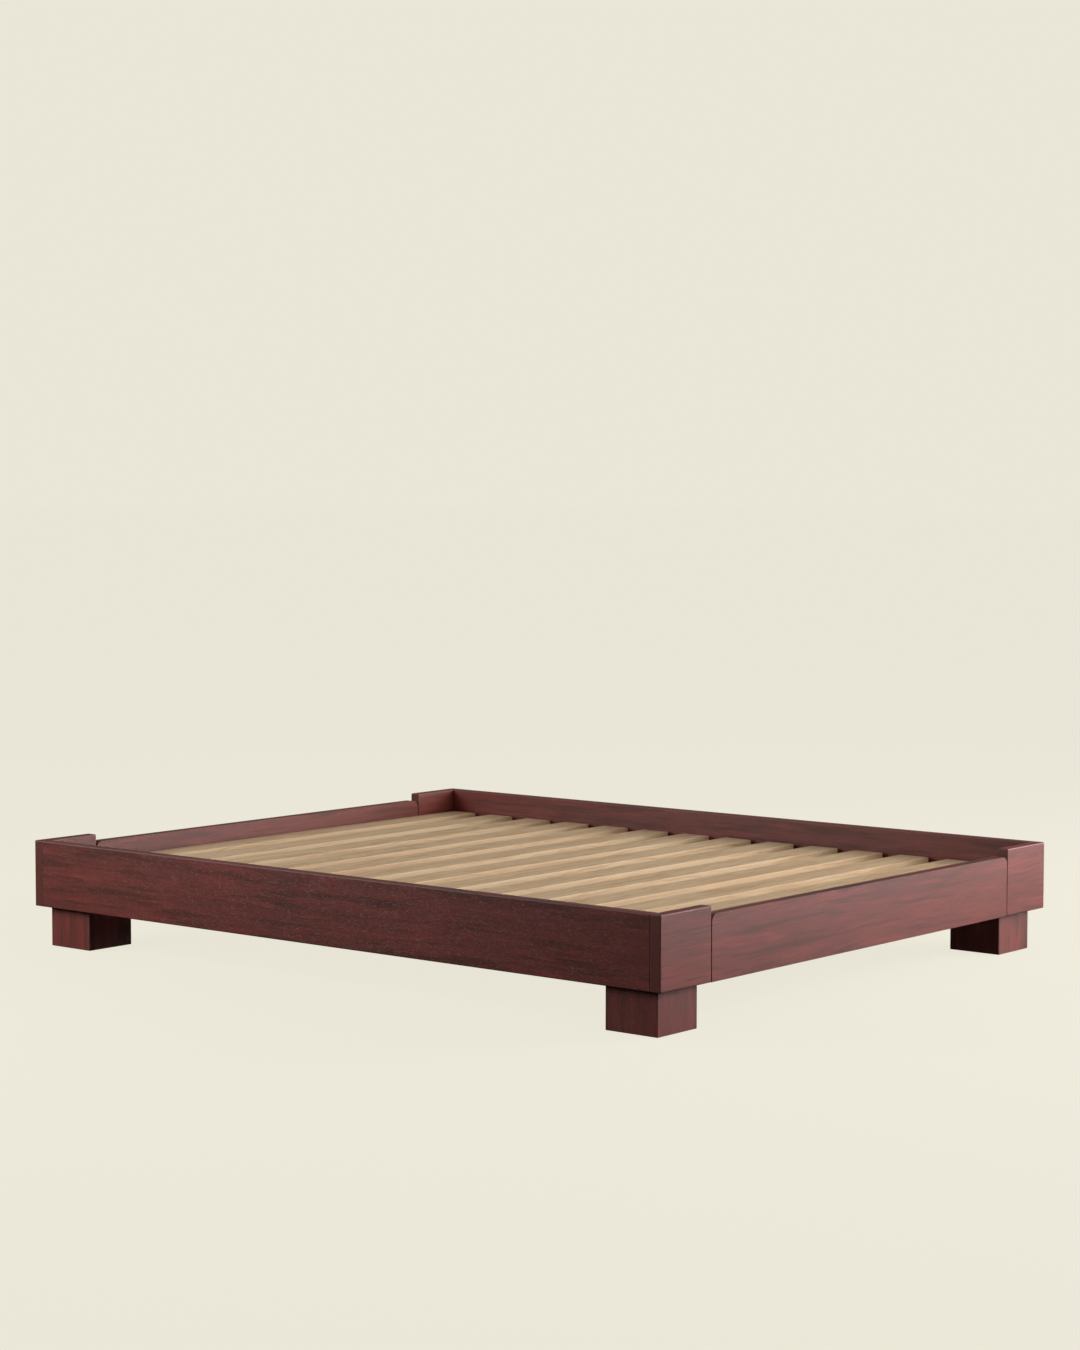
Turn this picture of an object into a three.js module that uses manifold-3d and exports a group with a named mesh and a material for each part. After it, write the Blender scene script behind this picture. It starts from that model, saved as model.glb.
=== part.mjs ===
// Low platform bed frame for one mattress, in millimetres, +Z up.
//
// Four block posts stand inside the corners. Two long side rails run between the ends, and each end
// is three boards in one plane: a lower end board between two corner boards that lap over the rails'
// ends. Ledgers, a centre beam and its leg carry a loose roll of slats.
//
// +X is the right long side and +Y the head end. The origin is on the floor under the frame's middle.
import * as THREE from "three";
import { mergeVertices } from "three/addons/utils/BufferGeometryUtils.js";
import Module from "manifold-3d";

const manifold = await Module();
manifold.setup();

// ---------------------------------------------------------------- driving dimensions

const FIT_GAP = 0.3; // between pieces that touch
const ROUND_SIDES = 16; // sides of a round piece

// The mattress and the well that holds it
const MATTRESS_WIDTH = 1600;
const MATTRESS_LENGTH = 2000;
const MATTRESS_CLEARANCE = 20; // air between mattress and boards, all round
const WELL_DEPTH = 65; // top of the side rails down to the slats

// Boards of the surround
const BOARD_THICKNESS = 30;
const BOARD_HEIGHT = 177;
const UNDERSIDE_HEIGHT = 111; // floor to the boards' lower edge
const END_BOARD_DROP = 20; // top of an end board below the corner boards beside it
const END_BOARD_CORNER_RADIUS = 20;
const SHADOW_GAP = 2; // open joint between an end board and a corner board
const CORNER_BOARD_OVERHANG = 12; // corner board past the post, towards the end board
const BOARD_CORNER_RADIUS = 5;
const BOARD_EDGE_RADIUS = 2.5;

// Posts
const POST_SIZE = 150;
const POST_EDGE_RADIUS = 2;
const POST_END_CHAMFER = 1.5;
const FELT_THICKNESS = 3;
const FELT_INSET = 20; // felt edge inside the post's edge

// Slat roll
const SLAT_COUNT = 14;
const SLAT_WIDTH = 90;
const SLAT_THICKNESS = 20;
const SLAT_END_CLEARANCE = 10; // slat end to side rail
const FIRST_SLAT_CLEARANCE = 10; // first and last slat to end board
const SLAT_EDGE_RADIUS = 2;
const TAPE_WIDTH = 25;
const TAPE_THICKNESS = 1.2;
const TAPE_SPACING = 1000; // between the two tapes' middles
const TAPE_END_INSET = 35; // tape end inside the first slat's outer edge

// Ledgers and centre beam
const LEDGER_THICKNESS = 30;
const SIDE_LEDGER_HEIGHT = 45;
const BEAM_WIDTH = 45;
const BEAM_HEIGHT = 70;
const TIMBER_EDGE_RADIUS = 2;

// Steel angles that tie the end ledgers to the posts
const ANGLE_LEG = 40;
const ANGLE_HEIGHT = 36;
const ANGLE_THICKNESS = 2.5;

// Steel shoes that carry the beam's ends
const SHOE_THICKNESS = 2;
const SHOE_DEPTH = 45;
const SHOE_FLANGE = 28;
const SHOE_TOP_INSET = 8; // shoe's top edge below the beam's top
const PLATE_SCREW_RADIUS = 2.5;
const PLATE_SCREW_INSET = 10; // screw holes inside a plate's edge

// Wide-headed timber screws, from inside the posts into the boards
const SCREW_RADIUS = 4;
const SCREW_HEAD_RADIUS = 10;
const SCREW_HEAD_HEIGHT = 4.5;
const SCREW_SOCKET_RADIUS = 3.4;
const SCREW_SOCKET_DEPTH = 2.8;
const SCREW_TIP_LENGTH = 8;
const SCREW_BITE = 22; // depth of thread in the board
const COUNTERBORE_RADIUS = 12.5;
const COUNTERBORE_DEPTH = 50;
const UPPER_SCREW_INSET = 25; // below the post's top
const LOWER_SCREW_INSET = 25; // above the boards' lower edge

// Dowels that keep the boards of one end flush
const DOWEL_RADIUS = 4;
const DOWEL_LENGTH = 34;
const DOWEL_CHAMFER = 1;
const DOWEL_END_PLAY = 1;

// Centre leg, its bolt and its levelling glide
const LEG_SIZE = 70;
const LEG_FORK_HEIGHT = 40; // how far the leg's cheeks reach up the beam
const BOLT_RADIUS = 4;
const BOLT_HEAD_RADIUS = 7.5;
const BOLT_HEAD_HEIGHT = 5.3;
const NUT_HEIGHT = 6.5;
const BOLT_PROUD = 3; // thread past the nut
const GLIDE_FOOT_RADIUS = 22.5;
const GLIDE_FOOT_HEIGHT = 8;
const GLIDE_STEM_RADIUS = 5;
const GLIDE_STEM_ENGAGED = 32; // stem inside the leg
const GLIDE_TRAVEL = 6; // how far the glide screws up
const INSERT_WALL = 1.6;
const INSERT_LENGTH = 14;
const INSERT_FLANGE_RADIUS = 12.5;
const INSERT_FLANGE_THICKNESS = 1.5;

// ---------------------------------------------------------------- places worked out from them

const WELL_HALF_WIDTH = MATTRESS_WIDTH / 2 + MATTRESS_CLEARANCE;
const WELL_HALF_LENGTH = MATTRESS_LENGTH / 2 + MATTRESS_CLEARANCE;
const HALF_WIDTH = WELL_HALF_WIDTH + BOARD_THICKNESS;
const BOARD_TOP = UNDERSIDE_HEIGHT + BOARD_HEIGHT;
const SLAT_TOP = BOARD_TOP - WELL_DEPTH;
const SUPPORT_TOP = SLAT_TOP - SLAT_THICKNESS - FIT_GAP; // posts, ledgers and beam all end here

const CORNER_BOARD_LENGTH = BOARD_THICKNESS + POST_SIZE + CORNER_BOARD_OVERHANG;
const CORNER_BOARD_INNER_X = HALF_WIDTH - CORNER_BOARD_LENGTH;
const END_BOARD_HALF_LENGTH = CORNER_BOARD_INNER_X - SHADOW_GAP;
const END_BOARD_HEIGHT = BOARD_HEIGHT - END_BOARD_DROP;
const END_PLANE_Y = WELL_HALF_LENGTH + BOARD_THICKNESS / 2; // middle of the end boards' thickness

const POST_X = WELL_HALF_WIDTH - FIT_GAP - POST_SIZE / 2;
const POST_Y = WELL_HALF_LENGTH - FIT_GAP - POST_SIZE / 2;
const POST_INNER_X = POST_X - POST_SIZE / 2;
const POST_INNER_Y = POST_Y - POST_SIZE / 2;
const RAIL_SCREW_Z = SUPPORT_TOP - UPPER_SCREW_INSET;
const CORNER_SCREW_Z = UNDERSIDE_HEIGHT + LOWER_SCREW_INSET;
const SCREW_LENGTH = POST_SIZE - COUNTERBORE_DEPTH + SCREW_BITE; // under the head
const PILOT_DEPTH = SCREW_BITE + 2 * FIT_GAP;

const END_LEDGER_Y = WELL_HALF_LENGTH - FIT_GAP - LEDGER_THICKNESS / 2;
const END_LEDGER_FACE_Y = END_LEDGER_Y - LEDGER_THICKNESS / 2;
const BEAM_BOTTOM = SUPPORT_TOP - BEAM_HEIGHT;

const LEG_BOTTOM = GLIDE_FOOT_HEIGHT + GLIDE_TRAVEL + INSERT_FLANGE_THICKNESS + 2 * FIT_GAP;
const LEG_TOP = BEAM_BOTTOM + LEG_FORK_HEIGHT;
const LEG_BOLT_Z = BEAM_BOTTOM + LEG_FORK_HEIGHT / 2;

const SIDES = [["left", -1], ["right", 1]];
const ENDS = [["foot", -1], ["head", 1]];

// ---------------------------------------------------------------- finishes

const stainedWood = new THREE.MeshStandardMaterial({ color: 0x6b3431, roughness: 0.5, metalness: 0 });
const paleWood = new THREE.MeshStandardMaterial({ color: 0xd6b98c, roughness: 0.65, metalness: 0 });
const beech = new THREE.MeshStandardMaterial({ color: 0xc79f70, roughness: 0.6, metalness: 0 });
const zincSteel = new THREE.MeshStandardMaterial({ color: 0xb4b8bb, roughness: 0.35, metalness: 1 });
const blackPlastic = new THREE.MeshStandardMaterial({ color: 0x1d1d1f, roughness: 0.45, metalness: 0 });
const greyFelt = new THREE.MeshStandardMaterial({ color: 0x57514b, roughness: 0.95, metalness: 0 });
const tapeCloth = new THREE.MeshStandardMaterial({ color: 0xcfc8b8, roughness: 0.9, metalness: 0 });

// ---------------------------------------------------------------- shape helpers

// A rectangle centred on the origin with round corners, its two upper ones of their own radius.
function roundedRectangle(width, height, radius, upperRadius = radius) {
  const right = width / 2;
  const top = height / 2;
  const shape = new THREE.Shape();
  shape.moveTo(-right + radius, -top);
  shape.lineTo(right - radius, -top);
  shape.absarc(right - radius, -top + radius, radius, -Math.PI / 2, 0, false);
  shape.lineTo(right, top - upperRadius);
  shape.absarc(right - upperRadius, top - upperRadius, upperRadius, 0, Math.PI / 2, false);
  shape.lineTo(-right + upperRadius, top);
  shape.absarc(-right + upperRadius, top - upperRadius, upperRadius, Math.PI / 2, Math.PI, false);
  shape.lineTo(-right, -top + radius);
  shape.absarc(-right + radius, -top + radius, radius, Math.PI, Math.PI * 1.5, false);
  return shape;
}

// An outline pulled straight along +Z, its middle at the origin.
function extruded(shape, length) {
  const options = { depth: length, bevelEnabled: false, curveSegments: 1 };
  return new THREE.ExtrudeGeometry(shape, options).translate(0, 0, -length / 2);
}

// Sawn timber with its long edges rounded: width along X, height along Z, length along Y.
function timberAlongY(width, height, length, radius) {
  return extruded(roundedRectangle(width, height, radius), length).rotateX(Math.PI / 2);
}

// The same with its length along X and its width along Y.
function timberAlongX(width, height, length, radius) {
  return timberAlongY(width, height, length, radius).rotateZ(Math.PI / 2);
}

// A board standing on edge across the bed, all its edges rounded: length along X, height along Z.
function standingBoard(length, height, upperRadius, cornerSteps) {
  const shape = roundedRectangle(length, height, BOARD_CORNER_RADIUS, upperRadius);
  const core = BOARD_THICKNESS - 2 * BOARD_EDGE_RADIUS;
  const options = {
    depth: core,
    bevelThickness: BOARD_EDGE_RADIUS,
    bevelSize: BOARD_EDGE_RADIUS,
    bevelOffset: -BOARD_EDGE_RADIUS,
    bevelSegments: 2,
    curveSegments: cornerSteps,
  };
  return new THREE.ExtrudeGeometry(shape, options).translate(0, 0, -core / 2).rotateX(Math.PI / 2);
}

// A block on end with eased edges, its middle at the origin.
function uprightBlock(size, height, edgeRadius, endChamfer) {
  const core = height - 2 * endChamfer;
  const options = {
    depth: core,
    bevelThickness: endChamfer,
    bevelSize: endChamfer,
    bevelOffset: -endChamfer,
    bevelSegments: 1,
    curveSegments: 1,
  };
  const shape = roundedRectangle(size, size, edgeRadius);
  return new THREE.ExtrudeGeometry(shape, options).translate(0, 0, -core / 2);
}

// A round piece turned about Z from its profile: [radius, z] pairs from the lower pole to the upper.
function turned(profile) {
  const points = profile.map(([radius, z]) => new THREE.Vector2(radius, z));
  return new THREE.LatheGeometry(points, ROUND_SIDES).rotateX(Math.PI / 2);
}

// A plain rod from one point to another, for cutting bores.
function rod(from, to, radius, sides = ROUND_SIDES) {
  const start = new THREE.Vector3(...from);
  const along = new THREE.Vector3(...to).sub(start);
  const geometry = new THREE.CylinderGeometry(radius, radius, along.length(), sides);
  const turn = new THREE.Quaternion().setFromUnitVectors(
    new THREE.Vector3(0, 1, 0),
    along.clone().normalize(),
  );
  return geometry.applyQuaternion(turn).translate(...start.addScaledVector(along, 0.5).toArray());
}

function box(sizeX, sizeY, sizeZ, x, y, z) {
  return new THREE.BoxGeometry(sizeX, sizeY, sizeZ).translate(x, y, z);
}

function toSolid(geometry) {
  const bare = geometry.clone();
  bare.deleteAttribute("normal");
  bare.deleteAttribute("uv");
  const merged = mergeVertices(bare, 1e-4);
  return new manifold.Manifold(
    new manifold.Mesh({
      numProp: 3,
      vertProperties: merged.attributes.position.array,
      triVerts: new Uint32Array(merged.index.array),
    }),
  );
}

function toGeometry(solid) {
  const mesh = solid.getMesh();
  const geometry = new THREE.BufferGeometry();
  geometry.setAttribute("position", new THREE.BufferAttribute(mesh.vertProperties, 3));
  geometry.setIndex(new THREE.BufferAttribute(mesh.triVerts, 1));
  geometry.computeVertexNormals();
  return geometry;
}

// One geometry from several that overlap or touch.
function joined(first, ...others) {
  return toGeometry(others.reduce((sum, other) => sum.add(toSolid(other)), toSolid(first)));
}

// A geometry with the cutters taken out of it.
function cut(geometry, ...cutters) {
  return toGeometry(cutters.reduce((rest, cutter) => rest.subtract(toSolid(cutter)), toSolid(geometry)));
}

const bedFrame = new THREE.Group();

function addPiece(name, geometry, material, x = 0, y = 0, z = 0) {
  const piece = new THREE.Mesh(geometry, material);
  piece.name = name;
  piece.position.set(x, y, z);
  bedFrame.add(piece);
}

// ---------------------------------------------------------------- posts

// The timber screws' bores cross inside the post at two heights. Each starts at an inner face as a
// counterbore that sinks the screw's head.
function postGeometry(sideSign, endSign) {
  const height = SUPPORT_TOP - FELT_THICKNESS;
  const middle = FELT_THICKNESS + height / 2;
  const half = POST_SIZE / 2;
  const railZ = RAIL_SCREW_Z - middle;
  const cornerZ = CORNER_SCREW_Z - middle;
  const bore = SCREW_RADIUS + FIT_GAP;
  const sunk = half - COUNTERBORE_DEPTH;
  return cut(
    uprightBlock(POST_SIZE, height, POST_EDGE_RADIUS, POST_END_CHAMFER),
    rod([-sideSign * (half + 1), 0, railZ], [sideSign * (half + 1), 0, railZ], bore),
    rod([-sideSign * (half + 1), 0, railZ], [-sideSign * sunk, 0, railZ], COUNTERBORE_RADIUS),
    rod([0, -endSign * (half + 1), cornerZ], [0, endSign * (half + 1), cornerZ], bore),
    rod([0, -endSign * (half + 1), cornerZ], [0, -endSign * sunk, cornerZ], COUNTERBORE_RADIUS),
  );
}

function addPosts() {
  const height = SUPPORT_TOP - FELT_THICKNESS;
  const feltSize = POST_SIZE - 2 * FELT_INSET;
  const feltHeight = FELT_THICKNESS - FIT_GAP;
  for (const [end, endSign] of ENDS) {
    for (const [side, sideSign] of SIDES) {
      const x = sideSign * POST_X;
      const y = endSign * POST_Y;
      const post = postGeometry(sideSign, endSign);
      addPiece(`corner_post_${end}_${side}`, post, stainedWood, x, y, FELT_THICKNESS + height / 2);
      const felt = extruded(roundedRectangle(feltSize, feltSize, BOARD_CORNER_RADIUS), feltHeight);
      addPiece(`felt_pad_${end}_${side}`, felt, greyFelt, x, y, feltHeight / 2);
    }
  }
}

// ---------------------------------------------------------------- surround

// A side rail has a pilot hole at each post, from its inner face.
function addSideRails() {
  const length = 2 * (WELL_HALF_LENGTH - FIT_GAP);
  const middle = UNDERSIDE_HEIGHT + BOARD_HEIGHT / 2;
  for (const [side, sideSign] of SIDES) {
    const innerX = (-sideSign * BOARD_THICKNESS) / 2;
    const pilots = ENDS.map(([, endSign]) =>
      rod(
        [innerX - sideSign, endSign * POST_Y, RAIL_SCREW_Z - middle],
        [innerX + sideSign * PILOT_DEPTH, endSign * POST_Y, RAIL_SCREW_Z - middle],
        SCREW_RADIUS + FIT_GAP,
      ),
    );
    const rail = cut(timberAlongY(BOARD_THICKNESS, BOARD_HEIGHT, length, BOARD_EDGE_RADIUS), ...pilots);
    const x = sideSign * (WELL_HALF_WIDTH + BOARD_THICKNESS / 2);
    addPiece(`side_rail_${side}`, rail, stainedWood, x, 0, middle);
  }
}

// Height of the dowels, at the middle of the end board.
const DOWEL_Z = UNDERSIDE_HEIGHT + END_BOARD_HEIGHT / 2;

// The hole for one dowel, centred on the open joint.
function dowelHole(x, z) {
  const half = DOWEL_LENGTH / 2 + DOWEL_END_PLAY;
  return rod([x - half, 0, z], [x + half, 0, z], DOWEL_RADIUS + FIT_GAP);
}

const JOINT_X = CORNER_BOARD_INNER_X - SHADOW_GAP / 2;

function addCornerBoards() {
  const middle = UNDERSIDE_HEIGHT + BOARD_HEIGHT / 2;
  for (const [end, endSign] of ENDS) {
    for (const [side, sideSign] of SIDES) {
      const x = sideSign * (HALF_WIDTH - CORNER_BOARD_LENGTH / 2);
      const screwX = sideSign * POST_X - x;
      const innerY = (-endSign * BOARD_THICKNESS) / 2;
      const board = cut(
        standingBoard(CORNER_BOARD_LENGTH, BOARD_HEIGHT, BOARD_CORNER_RADIUS, 1),
        dowelHole(sideSign * JOINT_X - x, DOWEL_Z - middle),
        rod(
          [screwX, innerY - endSign, CORNER_SCREW_Z - middle],
          [screwX, innerY + endSign * PILOT_DEPTH, CORNER_SCREW_Z - middle],
          SCREW_RADIUS + FIT_GAP,
        ),
      );
      addPiece(`corner_board_${end}_${side}`, board, stainedWood, x, endSign * END_PLANE_Y, middle);
    }
  }
}

function addEndBoards() {
  const middle = UNDERSIDE_HEIGHT + END_BOARD_HEIGHT / 2;
  for (const [end, endSign] of ENDS) {
    const board = cut(
      standingBoard(2 * END_BOARD_HALF_LENGTH, END_BOARD_HEIGHT, END_BOARD_CORNER_RADIUS, 3),
      dowelHole(-JOINT_X, DOWEL_Z - middle),
      dowelHole(JOINT_X, DOWEL_Z - middle),
    );
    addPiece(`end_board_${end}`, board, stainedWood, 0, endSign * END_PLANE_Y, middle);
  }
}

function addDowels() {
  const half = DOWEL_LENGTH / 2;
  const profile = [
    [0, -half],
    [DOWEL_RADIUS - DOWEL_CHAMFER, -half],
    [DOWEL_RADIUS, -half + DOWEL_CHAMFER],
    [DOWEL_RADIUS, half - DOWEL_CHAMFER],
    [DOWEL_RADIUS - DOWEL_CHAMFER, half],
    [0, half],
  ];
  for (const [end, endSign] of ENDS) {
    for (const [side, sideSign] of SIDES) {
      const dowel = turned(profile).rotateY(Math.PI / 2);
      addPiece(`dowel_${end}_${side}`, dowel, beech, sideSign * JOINT_X, endSign * END_PLANE_Y, DOWEL_Z);
    }
  }
}

// ---------------------------------------------------------------- timber screws

// A screw along +Z, the underside of its head at the origin and its tip at the top.
function timberScrew() {
  const rim = SCREW_HEAD_HEIGHT / 3;
  const body = turned([
    [0, -SCREW_HEAD_HEIGHT],
    [SCREW_HEAD_RADIUS * 0.6, -SCREW_HEAD_HEIGHT],
    [SCREW_HEAD_RADIUS, -rim],
    [SCREW_HEAD_RADIUS, 0],
    [SCREW_RADIUS, 0],
    [SCREW_RADIUS, SCREW_LENGTH - SCREW_TIP_LENGTH],
    [0, SCREW_LENGTH],
  ]);
  const socketStart = -SCREW_HEAD_HEIGHT - 1;
  const socketEnd = -SCREW_HEAD_HEIGHT + SCREW_SOCKET_DEPTH;
  return cut(body, rod([0, 0, socketStart], [0, 0, socketEnd], SCREW_SOCKET_RADIUS, 6));
}

function addTimberScrews() {
  const seatX = POST_INNER_X + COUNTERBORE_DEPTH - FIT_GAP;
  const seatY = POST_INNER_Y + COUNTERBORE_DEPTH - FIT_GAP;
  for (const [end, endSign] of ENDS) {
    for (const [side, sideSign] of SIDES) {
      const railScrew = timberScrew().rotateY((sideSign * Math.PI) / 2);
      const railScrewName = `rail_screw_${end}_${side}`;
      addPiece(railScrewName, railScrew, zincSteel, sideSign * seatX, endSign * POST_Y, RAIL_SCREW_Z);
      const boardScrew = timberScrew().rotateX((-endSign * Math.PI) / 2);
      const boardScrewName = `board_screw_${end}_${side}`;
      addPiece(boardScrewName, boardScrew, zincSteel, sideSign * POST_X, endSign * seatY, CORNER_SCREW_Z);
    }
  }
}

// ---------------------------------------------------------------- ledgers and their steel angles

function addLedgers() {
  const sideLength = 2 * (POST_INNER_Y - FIT_GAP);
  const sideX = WELL_HALF_WIDTH - FIT_GAP - LEDGER_THICKNESS / 2;
  for (const [side, sideSign] of SIDES) {
    const ledger = timberAlongY(LEDGER_THICKNESS, SIDE_LEDGER_HEIGHT, sideLength, TIMBER_EDGE_RADIUS);
    const z = SUPPORT_TOP - SIDE_LEDGER_HEIGHT / 2;
    addPiece(`side_ledger_${side}`, ledger, paleWood, sideSign * sideX, 0, z);
  }
  const endLength = 2 * (POST_INNER_X - FIT_GAP);
  for (const [end, endSign] of ENDS) {
    const ledger = timberAlongX(LEDGER_THICKNESS, BEAM_HEIGHT, endLength, TIMBER_EDGE_RADIUS);
    addPiece(`end_ledger_${end}`, ledger, paleWood, 0, endSign * END_LEDGER_Y, SUPPORT_TOP - BEAM_HEIGHT / 2);
  }
}

// An angle in plan, its corner at the origin: one leg towards +X, the other towards +Y.
function angleOutline() {
  const shape = new THREE.Shape();
  shape.moveTo(0, 0);
  shape.lineTo(ANGLE_LEG, 0);
  shape.lineTo(ANGLE_LEG, ANGLE_THICKNESS);
  shape.lineTo(ANGLE_THICKNESS, ANGLE_THICKNESS);
  shape.lineTo(ANGLE_THICKNESS, ANGLE_LEG);
  shape.lineTo(0, ANGLE_LEG);
  shape.closePath();
  return shape;
}

// Each leg has two screw holes on its middle line.
function angleGeometry() {
  const row = [ANGLE_LEG * 0.45, ANGLE_LEG - PLATE_SCREW_INSET + 1];
  const holeZ = ANGLE_HEIGHT / 2 - PLATE_SCREW_INSET;
  const holes = row.flatMap((along, i) => {
    const z = i === 0 ? -holeZ : holeZ;
    return [
      rod([along, -1, z], [along, ANGLE_THICKNESS + 1, z], PLATE_SCREW_RADIUS),
      rod([-1, along, z], [ANGLE_THICKNESS + 1, along, z], PLATE_SCREW_RADIUS),
    ];
  });
  return cut(extruded(angleOutline(), ANGLE_HEIGHT), ...holes);
}

// The angle sits in the corner between an end ledger's inner face and the post.
function addAngles() {
  const cornerX = POST_INNER_X - FIT_GAP;
  const cornerY = END_LEDGER_FACE_Y - FIT_GAP;
  const z = SUPPORT_TOP - BEAM_HEIGHT / 2;
  for (const [end, endSign] of ENDS) {
    for (const [side, sideSign] of SIDES) {
      const quarterTurns = { "-1,-1": 0, "1,-1": 1, "1,1": 2, "-1,1": 3 }[`${sideSign},${endSign}`];
      const angle = angleGeometry().rotateZ((quarterTurns * Math.PI) / 2);
      addPiece(`steel_angle_${end}_${side}`, angle, zincSteel, sideSign * cornerX, endSign * cornerY, z);
    }
  }
}

// ---------------------------------------------------------------- centre beam, shoes and leg

function addBeam() {
  const length = 2 * (END_LEDGER_FACE_Y - FIT_GAP);
  const boltHole = rod(
    [-BEAM_WIDTH, 0, LEG_BOLT_Z - BEAM_BOTTOM - BEAM_HEIGHT / 2],
    [BEAM_WIDTH, 0, LEG_BOLT_Z - BEAM_BOTTOM - BEAM_HEIGHT / 2],
    BOLT_RADIUS + FIT_GAP,
  );
  const beam = cut(timberAlongY(BEAM_WIDTH, BEAM_HEIGHT, length, TIMBER_EDGE_RADIUS), boltHole);
  addPiece("centre_beam", beam, paleWood, 0, 0, BEAM_BOTTOM + BEAM_HEIGHT / 2);
}

// A bent steel cradle under the beam's end, with a flange each side against the ledger. Its origin
// is on the ledger's face under the beam, and the cradle reaches towards -Y.
function shoeGeometry() {
  const innerHalf = BEAM_WIDTH / 2 + FIT_GAP;
  const outerHalf = innerHalf + SHOE_THICKNESS;
  const height = BEAM_HEIGHT - SHOE_TOP_INSET;
  const floor = box(2 * outerHalf, SHOE_DEPTH, SHOE_THICKNESS, 0, -SHOE_DEPTH / 2, -SHOE_THICKNESS / 2);
  const sides = [];
  const flanges = [];
  const holes = [];
  for (const sign of [-1, 1]) {
    const wallX = sign * (innerHalf + SHOE_THICKNESS / 2);
    const wallHeight = height + SHOE_THICKNESS;
    const wallZ = wallHeight / 2 - SHOE_THICKNESS;
    sides.push(box(SHOE_THICKNESS, SHOE_DEPTH, wallHeight, wallX, -SHOE_DEPTH / 2, wallZ));
    const flangeWidth = SHOE_FLANGE + SHOE_THICKNESS;
    const flangeX = sign * (innerHalf + flangeWidth / 2);
    flanges.push(box(flangeWidth, SHOE_THICKNESS, height, flangeX, -SHOE_THICKNESS / 2, height / 2));
    const holeX = sign * (outerHalf + SHOE_FLANGE / 2);
    for (const z of [PLATE_SCREW_INSET, height - PLATE_SCREW_INSET]) {
      holes.push(rod([holeX, 1, z], [holeX, -SHOE_THICKNESS - 1, z], PLATE_SCREW_RADIUS));
    }
  }
  return cut(joined(floor, ...sides, ...flanges), ...holes);
}

function addShoes() {
  for (const [end, endSign] of ENDS) {
    const shoe = shoeGeometry();
    if (endSign < 0) shoe.rotateZ(Math.PI);
    const y = endSign * (END_LEDGER_FACE_Y - FIT_GAP);
    addPiece(`beam_shoe_${end}`, shoe, zincSteel, 0, y, BEAM_BOTTOM - FIT_GAP);
  }
}

// The leg's top is a fork that straddles the beam, and its foot is bored for the threaded insert.
function addCentreLeg() {
  const height = LEG_TOP - LEG_BOTTOM;
  const middle = LEG_BOTTOM + height / 2;
  const notchFloor = BEAM_BOTTOM - FIT_GAP - middle;
  const notchHeight = LEG_FORK_HEIGHT + 2;
  const notchWidth = BEAM_WIDTH + 2 * FIT_GAP;
  const insertRadius = GLIDE_STEM_RADIUS + FIT_GAP + INSERT_WALL + FIT_GAP;
  const stemRoom = GLIDE_STEM_ENGAGED + GLIDE_TRAVEL + 2;
  const leg = cut(
    uprightBlock(LEG_SIZE, height, TIMBER_EDGE_RADIUS, POST_END_CHAMFER),
    box(notchWidth, LEG_SIZE + 2, notchHeight, 0, 0, notchFloor + notchHeight / 2),
    rod([-LEG_SIZE, 0, LEG_BOLT_Z - middle], [LEG_SIZE, 0, LEG_BOLT_Z - middle], BOLT_RADIUS + FIT_GAP),
    rod([0, 0, -height / 2 - 1], [0, 0, -height / 2 + INSERT_LENGTH + FIT_GAP], insertRadius),
    rod([0, 0, -height / 2], [0, 0, -height / 2 + stemRoom], GLIDE_STEM_RADIUS + FIT_GAP),
  );
  addPiece("centre_leg", leg, paleWood, 0, 0, middle);
}

// A flanged sleeve pressed into the leg's foot, for the glide's thread.
function addThreadedInsert() {
  const inner = GLIDE_STEM_RADIUS + FIT_GAP;
  const outer = inner + INSERT_WALL;
  const insert = turned([
    [inner, -INSERT_FLANGE_THICKNESS],
    [INSERT_FLANGE_RADIUS, -INSERT_FLANGE_THICKNESS],
    [INSERT_FLANGE_RADIUS, 0],
    [outer, 0],
    [outer, INSERT_LENGTH],
    [inner, INSERT_LENGTH],
    [inner, -INSERT_FLANGE_THICKNESS],
  ]);
  addPiece("threaded_insert", insert, zincSteel, 0, 0, LEG_BOTTOM - FIT_GAP);
}

// The glide's foot is on the floor, and its stem screws up through the insert.
function addGlide() {
  const stemTop = LEG_BOTTOM + GLIDE_STEM_ENGAGED;
  const glide = turned([
    [0, 0],
    [GLIDE_FOOT_RADIUS - 2, 0],
    [GLIDE_FOOT_RADIUS, 2],
    [GLIDE_FOOT_RADIUS, GLIDE_FOOT_HEIGHT - 3],
    [GLIDE_FOOT_RADIUS - 6, GLIDE_FOOT_HEIGHT],
    [GLIDE_STEM_RADIUS, GLIDE_FOOT_HEIGHT],
    [GLIDE_STEM_RADIUS, stemTop - 1],
    [GLIDE_STEM_RADIUS - 1, stemTop],
    [0, stemTop],
  ]);
  addPiece("levelling_glide", glide, blackPlastic);
}

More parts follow.
